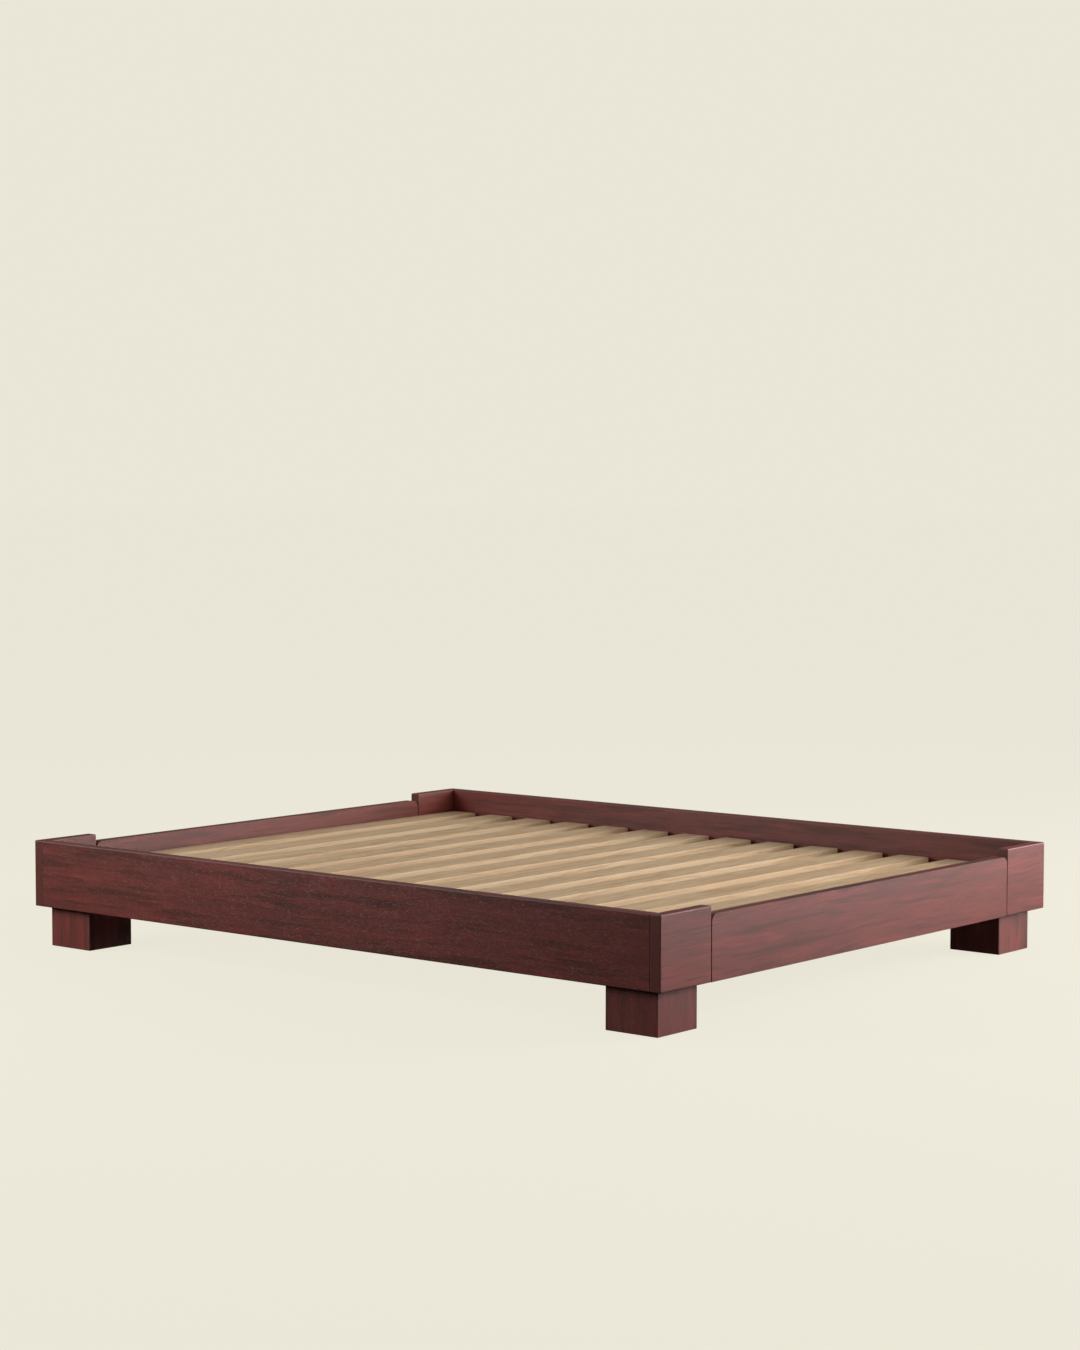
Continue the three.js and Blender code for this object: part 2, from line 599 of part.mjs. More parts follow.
// The bolt runs along +X through the fork and the beam, and its nut closes it on the right.
function addLegBolt() {
  const headFace = -LEG_SIZE / 2 - FIT_GAP;
  const nutFace = LEG_SIZE / 2 + FIT_GAP;
  const shankEnd = nutFace + NUT_HEIGHT + BOLT_PROUD;
  const bolt = joined(
    rod([headFace - BOLT_HEAD_HEIGHT, 0, 0], [headFace, 0, 0], BOLT_HEAD_RADIUS, 6),
    rod([headFace - 1, 0, 0], [shankEnd, 0, 0], BOLT_RADIUS),
  );
  addPiece("leg_bolt", bolt, zincSteel, 0, 0, LEG_BOLT_Z);
  const nut = cut(
    rod([nutFace, 0, 0], [nutFace + NUT_HEIGHT, 0, 0], BOLT_HEAD_RADIUS, 6),
    rod([nutFace - 1, 0, 0], [nutFace + NUT_HEIGHT + 1, 0, 0], BOLT_RADIUS + FIT_GAP),
  );
  addPiece("leg_nut", nut, zincSteel, 0, 0, LEG_BOLT_Z);
}

// ---------------------------------------------------------------- slat roll

// Slats lie evenly over the well's length, and two tapes under them keep their spacing.
function addSlats() {
  const length = 2 * (WELL_HALF_WIDTH - SLAT_END_CLEARANCE);
  const firstY = -WELL_HALF_LENGTH + FIRST_SLAT_CLEARANCE + SLAT_WIDTH / 2;
  const pitch = (-2 * firstY) / (SLAT_COUNT - 1);
  for (let i = 0; i < SLAT_COUNT; i += 1) {
    const slat = timberAlongX(SLAT_WIDTH, SLAT_THICKNESS, length, SLAT_EDGE_RADIUS);
    const number = String(i + 1).padStart(2, "0");
    addPiece(`slat_${number}`, slat, paleWood, 0, firstY + i * pitch, SLAT_TOP - SLAT_THICKNESS / 2);
  }
}

function addTapes() {
  const halfLength = WELL_HALF_LENGTH - FIRST_SLAT_CLEARANCE - TAPE_END_INSET;
  const z = SLAT_TOP - SLAT_THICKNESS - FIT_GAP - TAPE_THICKNESS / 2;
  for (const [side, sideSign] of SIDES) {
    const tape = new THREE.BoxGeometry(TAPE_WIDTH, 2 * halfLength, TAPE_THICKNESS);
    addPiece(`slat_tape_${side}`, tape, tapeCloth, (sideSign * TAPE_SPACING) / 2, 0, z);
  }
}

addPosts();
addSideRails();
addCornerBoards();
addEndBoards();
addDowels();
addTimberScrews();
addLedgers();
addAngles();
addBeam();
addShoes();
addCentreLeg();
addThreadedInsert();
addGlide();
addLegBolt();
addSlats();
addTapes();

export default bedFrame;
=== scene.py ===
# %% [markdown]
# # A low platform bed frame
#
# The bed is a plank surround on four block posts, with a loose roll of slats inside. Its sizes come from
# the frame model that is loaded first, so each piece below is modelled exactly where its plain CAD solid
# lies and then takes that solid's place. Lengths are in metres, +Z is up, +Y points to the head end.

# %% Load the fixed frame
import math

import bmesh
import bpy
from mathutils import Matrix, Vector


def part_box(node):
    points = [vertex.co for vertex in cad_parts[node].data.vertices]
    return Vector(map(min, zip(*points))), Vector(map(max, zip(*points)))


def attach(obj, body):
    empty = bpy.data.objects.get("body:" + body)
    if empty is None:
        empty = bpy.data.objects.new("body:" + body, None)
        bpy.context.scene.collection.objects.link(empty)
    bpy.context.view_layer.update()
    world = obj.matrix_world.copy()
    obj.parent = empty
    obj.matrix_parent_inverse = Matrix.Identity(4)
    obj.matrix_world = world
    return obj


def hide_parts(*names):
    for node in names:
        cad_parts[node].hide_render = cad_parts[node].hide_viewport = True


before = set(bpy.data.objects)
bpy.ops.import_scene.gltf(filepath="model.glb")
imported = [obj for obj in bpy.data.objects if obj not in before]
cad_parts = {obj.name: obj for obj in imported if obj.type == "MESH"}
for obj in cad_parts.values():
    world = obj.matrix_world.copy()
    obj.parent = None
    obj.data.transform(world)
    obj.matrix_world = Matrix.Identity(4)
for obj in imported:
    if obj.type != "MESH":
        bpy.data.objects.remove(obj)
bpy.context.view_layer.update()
MM = 0.001

# %% [markdown]
# ## The camera
#
# A product picture of a low bed is taken from far away with a long lens, a little above mattress height, so
# that its long lines stay nearly parallel. A camera's own axes are its right, its up and the way back
# towards the viewer, so its matrix can be written straight from the direction it looks in.

# %% Place the camera
CAMERA_PLACE = Vector((-6.0426, -4.9700, 1.2690))
CAMERA_TURN = math.radians(50.5789)  # from +Y towards +X
CAMERA_TILT = math.radians(3.9173)  # below the horizon
CAMERA_ROLL = math.radians(0.0594)
FOCAL_LENGTH = 78.474667  # millimetres, for a sensor 36 mm on its long side


def camera_matrix(place, turn, tilt, roll):
    """The camera's world matrix from its place and the three angles of its view."""
    forward = Vector((math.sin(turn) * math.cos(tilt), math.cos(turn) * math.cos(tilt), -math.sin(tilt)))
    right = Vector((math.cos(turn), -math.sin(turn), 0))
    up = right.cross(forward)
    rolled_right = math.cos(roll) * right + math.sin(roll) * up
    rolled_up = math.cos(roll) * up - math.sin(roll) * right
    axes = Matrix((rolled_right, rolled_up, -forward)).transposed()
    return Matrix.Translation(place) @ axes.to_4x4()


camera_data = bpy.data.cameras.new("camera")
camera_data.lens = FOCAL_LENGTH
camera_data.clip_end = 200
camera = bpy.data.objects.new("camera", camera_data)
bpy.context.scene.collection.objects.link(camera)
camera.matrix_world = camera_matrix(CAMERA_PLACE, CAMERA_TURN, CAMERA_TILT, CAMERA_ROLL)
bpy.context.scene.camera = camera
print("camera lens:", round(FOCAL_LENGTH, 1), "mm")

# %% [markdown]
# ## Shader values as Python expressions
#
# A node tree is a formula drawn with boxes. Wrapping a socket in a small class lets the formula be written
# as one: `0.3 * streaks + pores` makes a Multiply and an Add node. Every other kind of node comes from one
# method, `node`, which takes its type, its settings and what feeds its sockets.


# %% The class that wraps a socket
class Value:
    """One output socket of a material's node tree, with Python's operators."""

    def __init__(self, tree, socket=None):
        self.tree = tree
        self.socket = socket

    def node(self, kind, settings=None, inputs=None, output=0):
        """Adds a node, sets it up, links or sets its inputs, and wraps one of its outputs."""
        made = self.tree.nodes.new(kind)
        for name, setting in (settings or {}).items():
            setattr(made, name, setting)
        for name, value in (inputs or {}).items():
            if isinstance(value, Value):
                self.tree.links.new(value.socket, made.inputs[name])
            else:
                made.inputs[name].default_value = value
        return Value(self.tree, made.outputs[output])

    def maths(self, operation, first, second=0.0):
        return self.node("ShaderNodeMath", {"operation": operation}, {0: first, 1: second})

    def __add__(self, other):
        return self.maths("ADD", self, other)

    __radd__ = __add__

    def __sub__(self, other):
        return self.maths("SUBTRACT", self, other)

    def __rsub__(self, other):
        return self.maths("SUBTRACT", other, self)

    def __mul__(self, other):
        return self.maths("MULTIPLY", self, other)

    __rmul__ = __mul__

    def between(self, low, high):
        """0 below low, 1 above high, and a soft step from one to the other."""
        inputs = {"Value": self, "From Min": low, "From Max": high}
        return self.node("ShaderNodeMapRange", {"interpolation_type": "SMOOTHSTEP"}, inputs)


MIX_FACTOR, MIX_FIRST, MIX_SECOND, MIX_RESULT = 0, 6, 7, 2  # the Mix node's sockets for colours


def mixed(factor, first, second):
    """A colour between two, as the factor says."""
    inputs = {MIX_FACTOR: factor}
    for socket, colour in ((MIX_FIRST, first), (MIX_SECOND, second)):
        inputs[socket] = colour if isinstance(colour, Value) else (*colour, 1)
    return factor.node("ShaderNodeMix", {"data_type": "RGBA"}, inputs, output=MIX_RESULT)


def noise(where, detail=2.0, roughness=0.5, distortion=0.0):
    """A soft random pattern between 0 and 1; more detail adds finer layers to it."""
    inputs = {
        "Vector": where,
        "Scale": 1.0,
        "Detail": detail,
        "Roughness": roughness,
        "Distortion": distortion,
    }
    return where.node("ShaderNodeTexNoise", {"noise_dimensions": "3D"}, inputs)


def scaled(where, scale):
    """The coordinates stretched: a large number along an axis makes a pattern fine along it."""
    return where.node("ShaderNodeMapping", None, {"Vector": where, "Scale": scale})


def new_material(name):
    """An empty node material, and a Value to start its formula from."""
    material = bpy.data.materials.new(name)
    material.use_nodes = True
    material.node_tree.nodes.clear()
    return material, Value(material.node_tree)


def object_place(start):
    """The place on the piece, in metres."""
    return start.node("ShaderNodeTexCoord", output="Object")


def send_out(shader, kind):
    """Links a shader to a new output node of its tree."""
    output = shader.tree.nodes.new(kind)
    shader.tree.links.new(shader.socket, output.inputs["Surface"])


def finish_material(start, colour, roughness, normal=None, **constants):
    """Ends a material in a Principled shader: constants go straight onto the shader's own sockets."""
    inputs = {"Base Color": colour, "Roughness": roughness}
    if normal is not None:
        inputs["Normal"] = normal
    inputs.update({name.replace("_", " "): value for name, value in constants.items()})
    send_out(start.node("ShaderNodeBsdfPrincipled", None, inputs), "ShaderNodeOutputMaterial")


def bumped(height, strength, distance):
    """A normal that tilts as if the surface rose with the height, by up to the distance."""
    inputs = {"Strength": strength, "Distance": distance, "Height": height}
    return height.node("ShaderNodeBump", None, inputs)

# %% [markdown]
# ## Stained wood
#
# The surround and the posts are a close-grained hardwood under a red-brown stain and a satin lacquer. Along
# the grain its colour runs in long soft streaks: thin dark ones, a little olive, and broader ones where the
# stain shows redder. So the pattern is noise that is stretched along the board, slow along it and fast
# across it, in layers of several widths. A slow noise bends all of them a little, because a tree isn't
# straight. The last, very fine layer makes the pores, short dark scratches that also dent the surface.
#
# Each layer is a mask between 0 and 1 that mixes one more colour over those before it. A piece holds a
# number of its own, the attribute `cut`, which slides the pattern, so that two boards side by side aren't
# one log. The three boards of an end share theirs, as boards sawn from one plank do, and their streaks run
# on across the joints. A second attribute, `arris`, is 1 on the rounded edges, where a lighter colour is
# mixed in: partly the stain thinned by sanding, partly a painted highlight along the edges. A third, `sawn`,
# is 1 on the end grain, which soaks up more stain and shows no streaks. The posts' lacquer is set a little
# glossier than the boards', so that their upright faces carry enough sheen.

# %% Coordinates for wood
GRAIN_AXES = {"x": 0, "y": 1, "z": 2}


def along_grain(axis, along, across, thick):
    """A scale that is slow along the grain's axis; thick is for the axis through a board."""
    through = {"x": 1, "y": 0, "z": 0}[axis]
    scale = [across, across, across]
    scale[through] = thick
    scale[GRAIN_AXES[axis]] = along
    return scale


SLIDE = {"X": 3.71, "Y": 5.13, "Z": 7.39}  # metres for each step of a piece's cut number
BEND_STRETCH = (3.0, 7.0, 7.0)


def attribute(start, name):
    """A number that the piece's own mesh holds."""
    return start.node("ShaderNodeAttribute", {"attribute_name": name}, output="Fac")


def vector_maths(start, operation, first, second):
    """Vector Math; its second input is a vector, or a number where the operation is SCALE."""
    second_socket = "Scale" if operation == "SCALE" else 1
    return start.node("ShaderNodeVectorMath", {"operation": operation}, {0: first, second_socket: second})


def board_place(start, axis, bend):
    """Object coordinates, slid by the piece's own cut number and bent a little by a slow noise."""
    cut = attribute(start, "cut")
    slide = start.node("ShaderNodeCombineXYZ", None, {name: cut * step for name, step in SLIDE.items()})
    place = vector_maths(start, "ADD", object_place(start), slide)
    sway = {"Vector": scaled(place, along_grain(axis, *BEND_STRETCH)), "Scale": 1.0, "Detail": 2.0}
    swayed = start.node("ShaderNodeTexNoise", None, sway, output="Color")
    centred = vector_maths(start, "SUBTRACT", swayed, (0.5, 0.5, 0.5))
    return vector_maths(start, "ADD", place, vector_maths(start, "SCALE", centred, bend))

# %% The stained wood material
STAIN = (0.193, 0.0416, 0.0302)
STAIN_DARK = (0.094, 0.0249, 0.0157)
STAIN_DEEP = (0.058, 0.0144, 0.0114)
STAIN_RED = (0.265, 0.0491, 0.0370)
STAIN_PLUM = (0.185, 0.0406, 0.0352)
STAIN_END = (0.116, 0.0305, 0.0225)
STAIN_WORN_AND_HIGHLIGHT = (0.240, 0.088, 0.072)

# Each layer: how fast it changes along, across and through a board, its noise's detail and roughness, where
# its mask starts and is full, its share, and the colour that it mixes in.
STAIN_LAYERS = [
    ((1.3, 17, 8), 2.0, 0.5, (0.35, 0.72), 0.34, STAIN_DEEP),  # broad bands
    ((4.0, 40, 16), 3.0, 0.5, (0.45, 0.62), 0.55, STAIN_PLUM),  # a change of tint
    ((4.4, 50, 20), 4.0, 0.6, (0.48, 0.68), 0.72, STAIN_RED),  # redder streaks
    ((3.2, 58, 24), 4.0, 0.62, (0.50, 0.65), 0.84, STAIN_DARK),  # dark streaks
    ((9, 125, 50), 3.0, 0.65, (0.48, 0.72), 0.46, STAIN_DARK),  # short dark dashes
]
LINE_STRETCH = (9, 520, 200)
PORE_STRETCH = (70, 1700, 1700)
STAIN_BEND = 0.022
PORE_DEPTH = 0.4 * MM


def stained_wood(axis, lacquer_ior):
    """Stained wood with its grain along an axis."""
    material, start = new_material(f"stained_wood_along_{axis}")
    place = board_place(start, axis, STAIN_BEND)
    colour = STAIN
    for stretch, detail, roughness, (low, high), share, tint in STAIN_LAYERS:
        layer = noise(scaled(place, along_grain(axis, *stretch)), detail, roughness)
        colour = mixed(layer.between(low, high) * share, colour, tint)
    lines = noise(scaled(place, along_grain(axis, *LINE_STRETCH)), detail=2.0)
    pore = noise(scaled(place, along_grain(axis, *PORE_STRETCH)), detail=1.0).between(0.60, 0.72)
    arris = attribute(start, "arris")
    colour = mixed(lines.between(0.40, 0.75) * 0.24, colour, STAIN_DEEP)
    colour = mixed(pore * 0.40, colour, STAIN_DEEP)
    colour = mixed(attribute(start, "sawn") * 0.88, colour, STAIN_END)
    # Lighter on the rounded edges: partly stain worn thin, partly a painted highlight.
    colour = mixed(arris * 0.30, colour, STAIN_WORN_AND_HIGHLIGHT)
    roughness = 0.33 + 0.06 * lines + 0.15 * pore + 0.20 * arris
    normal = bumped(1 - pore + 0.3 * lines, 0.25, PORE_DEPTH)
    finish_material(start, colour, roughness, normal, IOR=lacquer_ior)
    return material


LACQUER_IOR = {"x": 1.45, "y": 1.45, "z": 1.56}
STAINED = {axis: stained_wood(axis, LACQUER_IOR[axis]) for axis in GRAIN_AXES}
print("stained wood:", [m.name for m in STAINED.values()])

# %% [markdown]
# ## Pale softwood
#
# Slats, ledgers and the centre beam are planed spruce, left raw. Its growth rings show as fine darker lines
# along the piece, unevenly spaced and a little wavy, and here and there a knot sits between them with a
# darker halo. Stretched noise makes the rings, and a cell texture stretched along the grain places the
# knots: the distance to a cell's middle is small only near a few points.

# %% The pale wood material
PALE_LIGHT = (0.66, 0.475, 0.285)
PALE_RING = (0.49, 0.29, 0.140)
PALE_WARM = (0.60, 0.38, 0.205)
PALE_KNOT = (0.17, 0.075, 0.033)
PALE_BEND = 0.06
KNOT_STRETCH = (1.5, 6.0, 6.0)


def pale_wood(axis):
    material, start = new_material(f"pale_wood_along_{axis}")
    place = board_place(start, axis, PALE_BEND)
    rings = noise(scaled(place, along_grain(axis, 0.9, 150, 60)), detail=2.5, roughness=0.6)
    broad = noise(scaled(place, along_grain(axis, 0.7, 22, 12)), detail=2.0)
    fibres = noise(scaled(place, along_grain(axis, 30, 1600, 1600)), detail=1.0)
    middles = {"Vector": scaled(place, along_grain(axis, *KNOT_STRETCH)), "Scale": 1.0}
    cells = start.node("ShaderNodeTexVoronoi", {"feature": "F1"}, middles)
    knot = 1 - cells.between(0.045, 0.085)
    halo = 1 - cells.between(0.06, 0.24)
    ring = rings.between(0.46, 0.64)
    colour = mixed(ring * 0.72, PALE_LIGHT, PALE_RING)
    colour = mixed(broad.between(0.4, 0.75) * 0.5, colour, PALE_WARM)
    colour = mixed(fibres.between(0.5, 0.8) * 0.25, colour, PALE_RING)
    colour = mixed(halo * 0.45, colour, PALE_RING)
    colour = mixed(knot * 0.88, colour, PALE_KNOT)
    roughness = 0.60 + 0.1 * fibres - 0.08 * ring
    normal = bumped(0.6 * fibres + 0.4 * ring, 0.2, 0.0003)
    finish_material(start, colour, roughness, normal, IOR=1.5)
    return material


PALE = {axis: pale_wood(axis) for axis in GRAIN_AXES}
print("pale wood:", [m.name for m in PALE.values()])

# %% [markdown]
# ## Steel, plastic, felt, beech and tape
#
# Galvanised steel is pale and slightly blotchy, because the zinc sets in crystals. Each cell of a small cell
# texture gets its own grey and its own roughness. Moulded plastic is dark with a fine grain that only the
# bump shows. Felt is a mat of short fibres, so its colour and height are fine noise. The tape is a plain
# weave: one wave runs along it, one across it, and their product makes the crossings.

# %% Small materials
def zinc_steel():
    material, start = new_material("zinc_coated_steel")
    place = object_place(start)
    cells = {"Vector": place, "Scale": 260.0, "Randomness": 1.0}
    spangle = start.node("ShaderNodeTexVoronoi", {"feature": "F1"}, cells, output="Color")
    grey = spangle.node("ShaderNodeSeparateColor", None, {"Color": spangle}, output=0)
    scuffs = noise(scaled(place, (90, 90, 90)), detail=4.0, roughness=0.65)
    colour = mixed(grey * 0.5 + scuffs * 0.5, (0.46, 0.48, 0.50), (0.68, 0.70, 0.72))
    roughness = 0.28 + 0.14 * grey + 0.12 * scuffs
    finish_material(start, colour, roughness, bumped(scuffs, 0.12, 0.0002), Metallic=1.0)
    return material


def black_plastic():
    material, start = new_material("moulded_black_plastic")
    place = object_place(start)
    grain = noise(scaled(place, (1800, 1800, 1800)), detail=2.0)
    patches = noise(scaled(place, (60, 60, 60)), detail=3.0)
    colour = mixed(patches, (0.012, 0.012, 0.013), (0.028, 0.028, 0.03))
    finish_material(start, colour, 0.38 + 0.16 * patches, bumped(grain, 0.25, 0.0002), IOR=1.5)
    return material


def grey_felt():
    material, start = new_material("pressed_grey_felt")
    place = object_place(start)
    fibres = noise(scaled(place, (900, 900, 900)), detail=5.0, roughness=0.7, distortion=1.2)
    clumps = noise(scaled(place, (120, 120, 120)), detail=3.0)
    colour = mixed(fibres.between(0.3, 0.7) * 0.6 + clumps * 0.4, (0.045, 0.04, 0.036), (0.17, 0.155, 0.14))
    finish_material(start, colour, 0.95 - 0.05 * fibres, bumped(fibres + 0.5 * clumps, 0.8, 0.0006), IOR=1.4)
    return material


def beech_dowel():
    material, start = new_material("fluted_beech")
    place = object_place(start)
    flecks = noise(scaled(place, along_grain("x", 160, 900, 900)), detail=1.5)
    tone = noise(scaled(place, along_grain("x", 12, 240, 240)), detail=2.0)
    colour = mixed(tone.between(0.3, 0.7), (0.62, 0.41, 0.23), (0.50, 0.31, 0.165))
    colour = mixed(flecks.between(0.6, 0.72) * 0.5, colour, (0.30, 0.16, 0.08))
    finish_material(start, colour, 0.55 + 0.1 * flecks, bumped(flecks, 0.2, 0.0002), IOR=1.5)
    return material


THREADS_PER_METRE = 1100.0


def tape_cloth():
    material, start = new_material("woven_tape")
    place = object_place(start)
    parts = [place.node("ShaderNodeSeparateXYZ", None, {"Vector": place}, output=i) for i in (0, 1)]
    turns = 2 * math.pi * THREADS_PER_METRE / 2
    warp, weft = (part.maths("SINE", part * turns) for part in parts)
    over = (warp * weft).between(-0.9, 0.9)
    slubs = noise(scaled(place, (700, 60, 200)), detail=2.0)
    colour = mixed(over, (0.46, 0.42, 0.34), (0.74, 0.70, 0.60))
    colour = mixed(slubs.between(0.55, 0.75) * 0.35, colour, (0.36, 0.32, 0.25))
    finish_material(start, colour, 0.88 + 0.06 * over, bumped(over + 0.4 * slubs, 0.6, 0.0005), IOR=1.45)
    return material


STEEL = zinc_steel()
PLASTIC = black_plastic()
FELT = grey_felt()
BEECH = beech_dowel()
TAPE = tape_cloth()
print("small materials:", [m.name for m in (STEEL, PLASTIC, FELT, BEECH, TAPE)])

# %% [markdown]
# ## Modelling a plank
#
# A sawn and planed plank is a box whose edges are eased with a small rounding, the arris. By hand that is a
# cube at the plank's size, a bevel on the chosen edges, and the modifier applied. Bevel weights say how
# round each edge gets: a full arris outside, and a slight one where two boards meet, so that the joint
# stays a thin line. Holes are drilled with a boolean: a round cutter stands where the drill bit would go.


# %% Helpers for blocks and edges
NEAR = 0.1 * MM


def deselect_all():
    bpy.ops.object.select_all(action="DESELECT")


def only(piece):
    """Makes one object the only selected and the active one."""
    deselect_all()
    piece.select_set(True)
    bpy.context.view_layer.objects.active = piece


def apply_place(piece):
    """Moves the object's place, turn and scale into its mesh."""
    only(piece)
    bpy.ops.object.transform_apply(location=True, rotation=True, scale=True)


def add_block(name, low, high):
    """A box between two corners."""
    deselect_all()
    bpy.ops.mesh.primitive_cube_add(size=1, location=(low + high) / 2, scale=high - low)
    piece = bpy.context.object
    piece.name = name
    apply_place(piece)
    return piece


def ease_edges(piece, width, weigh, segments=4):
    """Rounds the edges: weigh(middle, along) gives each edge's share of the width."""
    mesh = piece.data
    weights = mesh.attributes.new("bevel_weight_edge", "FLOAT", "EDGE")
    for edge in mesh.edges:
        start, end = (mesh.vertices[i].co for i in edge.vertices)
        weights.data[edge.index].value = weigh((start + end) / 2, (end - start).normalized())
    only(piece)
    bpy.ops.object.modifier_add(type="BEVEL")
    bevel = piece.modifiers[-1]
    bevel.limit_method = "WEIGHT"
    bevel.width = width
    bevel.segments = segments
    bpy.ops.object.modifier_apply(modifier=bevel.name)
    piece.data.attributes.remove(piece.data.attributes["bevel_weight_edge"])


def runs(along, axis):
    """Whether an edge's direction lies along an axis."""
    return abs(along["xyz".index(axis)]) > 0.9


def ease_timber(piece, width, axis, end_share):
    """Rounds the edges that run along the grain, and the others by a share of that."""
    ease_edges(piece, width, lambda middle, along: 1.0 if runs(along, axis) else end_share)

# %% Helpers for holes and joints
def combine(piece, other, operation):
    """Adds the other piece to this one or takes it away, and removes the other."""
    only(piece)
    bpy.ops.object.modifier_add(type="BOOLEAN")
    join = piece.modifiers[-1]
    join.operation = operation
    join.solver = "EXACT"
    join.object = other
    bpy.ops.object.modifier_apply(modifier=join.name)
    bpy.data.objects.remove(other)


def bore(piece, mouth, bottom, radius, sides=32, end_radius=None):
    """Drills a hole from its mouth to its bottom, or a tapered one with an end radius."""
    axis = bottom - mouth
    deselect_all()
    bpy.ops.mesh.primitive_cone_add(
        vertices=sides,
        radius1=radius,
        radius2=radius if end_radius is None else end_radius,
        depth=axis.length,
        location=(mouth + bottom) / 2,
        rotation=axis.to_track_quat("Z", "Y").to_euler(),
    )
    cutter = bpy.context.object
    apply_place(cutter)
    combine(piece, cutter, "DIFFERENCE")


def copy_to(piece, name, turn, place):
    """A copy with its own mesh, turned about the origin and then moved to its place."""
    only(piece)
    bpy.ops.object.duplicate(linked=False)
    copy = bpy.context.object
    copy.name = name
    copy.rotation_euler = turn
    copy.location = place
    apply_place(copy)
    return copy


def joined(pieces, name):
    """Joins pieces into one object."""
    deselect_all()
    for piece in pieces:
        piece.select_set(True)
    bpy.context.view_layer.objects.active = pieces[0]
    if len(pieces) > 1:
        bpy.ops.object.join()
    pieces[0].name = name
    return pieces[0]

# %% Helpers that finish a piece
ARRIS = 3.0 * MM
ON_FACE = 0.01 * MM
# The number that slides the wood's pattern, for the first piece of each kind
FIRST_CUTS = {"rail": 0.31, "post": 9.4, "side_ledger": 14.2, "end_ledger": 16.8, "beam": 19.3, "leg": 21.7}


def mark_wood(piece, low, high, cut):
    """Gives the mesh its cut number, arris (1 on the rounded edges) and sawn (1 on the end grain)."""
    mesh = piece.data
    edges = mesh.attributes.new("arris", "FLOAT", "POINT")
    for vertex in mesh.vertices:
        depths = [min(vertex.co[i] - low[i], high[i] - vertex.co[i]) for i in range(3)]
        on_face = min(depths) < ON_FACE
        near_edge = sum(depth < ARRIS for depth in depths) > 1
        edges.data[vertex.index].value = 1.0 if near_edge and not on_face else 0.0
    cuts = mesh.attributes.new("cut", "FLOAT", "POINT")
    cuts.data.foreach_set("value", [cut] * len(mesh.vertices))
    lengths = [high[i] - low[i] for i in range(3)]
    grain = lengths.index(max(lengths))
    sawn = mesh.attributes.new("sawn", "FLOAT", "FACE")
    sawn.data.foreach_set("value", [float(abs(face.normal[grain]) > 0.9) for face in mesh.polygons])


def give_finish(piece, body, material):
    """The piece rides on a body and gets its material; a small extra piece needs no more."""
    piece.data.materials.clear()
    piece.data.materials.append(material)
    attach(piece, body)
    return piece


def stand_in(piece, node, body, material):
    """The piece takes a CAD node's place, rides on its body and gets its finish."""
    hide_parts(node)
    return give_finish(piece, body, material)

# %% [markdown]
# ## Side rails, corner boards and end boards
#
# The corner boards lap over the rails' ends, so a strip of their end grain shows at the ends of each long
# side. An end board hangs between two corner boards, lower than they are, and its upper corners are cut to
# a generous round before its edges are eased. Pilot holes for the timber screws start from the boards'
# inner faces, and the ends that face each other are drilled for a dowel.

# %% Rails
JOINT_ARRIS = 1.0 * MM
RAIL_END_SHARE = 0.15
JOINT_GAP = 0.5 * MM
SIDES = {"left": -1, "right": 1}
ENDS = {"foot": -1, "head": 1}
PILOT_RADIUS = 3.2 * MM
PILOT_DEPTH = 22.6 * MM


def middle_of(node):
    low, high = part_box(node)
    return (low + high) / 2


def side_rail(side, cut):
    node = f"side_rail_{side}"
    low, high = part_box(node)
    piece = add_block(f"{node}_finished", low, high)
    ease_timber(piece, ARRIS, "y", RAIL_END_SHARE)
    inner = high.x if SIDES[side] < 0 else low.x
    for end in ENDS:
        screw = middle_of(f"rail_screw_{end}_{side}")
        bottom = Vector((inner + SIDES[side] * PILOT_DEPTH, screw.y, screw.z))
        bore(piece, Vector((inner - SIDES[side] * MM, screw.y, screw.z)), bottom, PILOT_RADIUS)
    mark_wood(piece, low, high, cut)
    return stand_in(piece, node, "frame", STAINED["y"])


rails = [side_rail(side, FIRST_CUTS["rail"] + i) for i, side in enumerate(SIDES)]
print("rails:", [len(p.data.polygons) for p in rails], "faces")

# %% Corner boards
DOWEL_HOLE = 4.3 * MM
DOWEL_DEPTH = 18 * MM


def drill_for_dowel(piece, end, side):
    """Drills along X for the dowel, as deep on both sides of the joint."""
    dowel = middle_of(f"dowel_{end}_{side}")
    reach = Vector((DOWEL_DEPTH, 0, 0))
    bore(piece, dowel - reach, dowel + reach, DOWEL_HOLE)


def corner_board(end, side, cut):
    node = f"corner_board_{end}_{side}"
    low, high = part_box(node)
    if SIDES[side] > 0:
        low.x += JOINT_GAP
    else:
        high.x -= JOINT_GAP
    piece = add_block(f"{node}_finished", low, high)
    joint_x = low.x if SIDES[side] > 0 else high.x

    def weigh(middle, along):
        lower_joint = abs(middle.x - joint_x) < NEAR and runs(along, "z")
        return JOINT_ARRIS / ARRIS if lower_joint else 1.0

    ease_edges(piece, ARRIS, weigh)
    drill_for_dowel(piece, end, side)
    inner = high.y if ENDS[end] < 0 else low.y
    screw = middle_of(f"board_screw_{end}_{side}")
    bottom = Vector((screw.x, inner + ENDS[end] * PILOT_DEPTH, screw.z))
    bore(piece, Vector((screw.x, inner - ENDS[end] * MM, screw.z)), bottom, PILOT_RADIUS)
    mark_wood(piece, low, high, cut)
    return stand_in(piece, node, "frame", STAINED["x"])


END_PLANK_CUTS = {"foot": 2.17, "head": 5.61}
corner_boards = [corner_board(end, side, END_PLANK_CUTS[end]) for end in ENDS for side in SIDES]
print("corner boards:", [p.name for p in corner_boards])

# %% End boards
END_BOARD_ROUND = 20 * MM


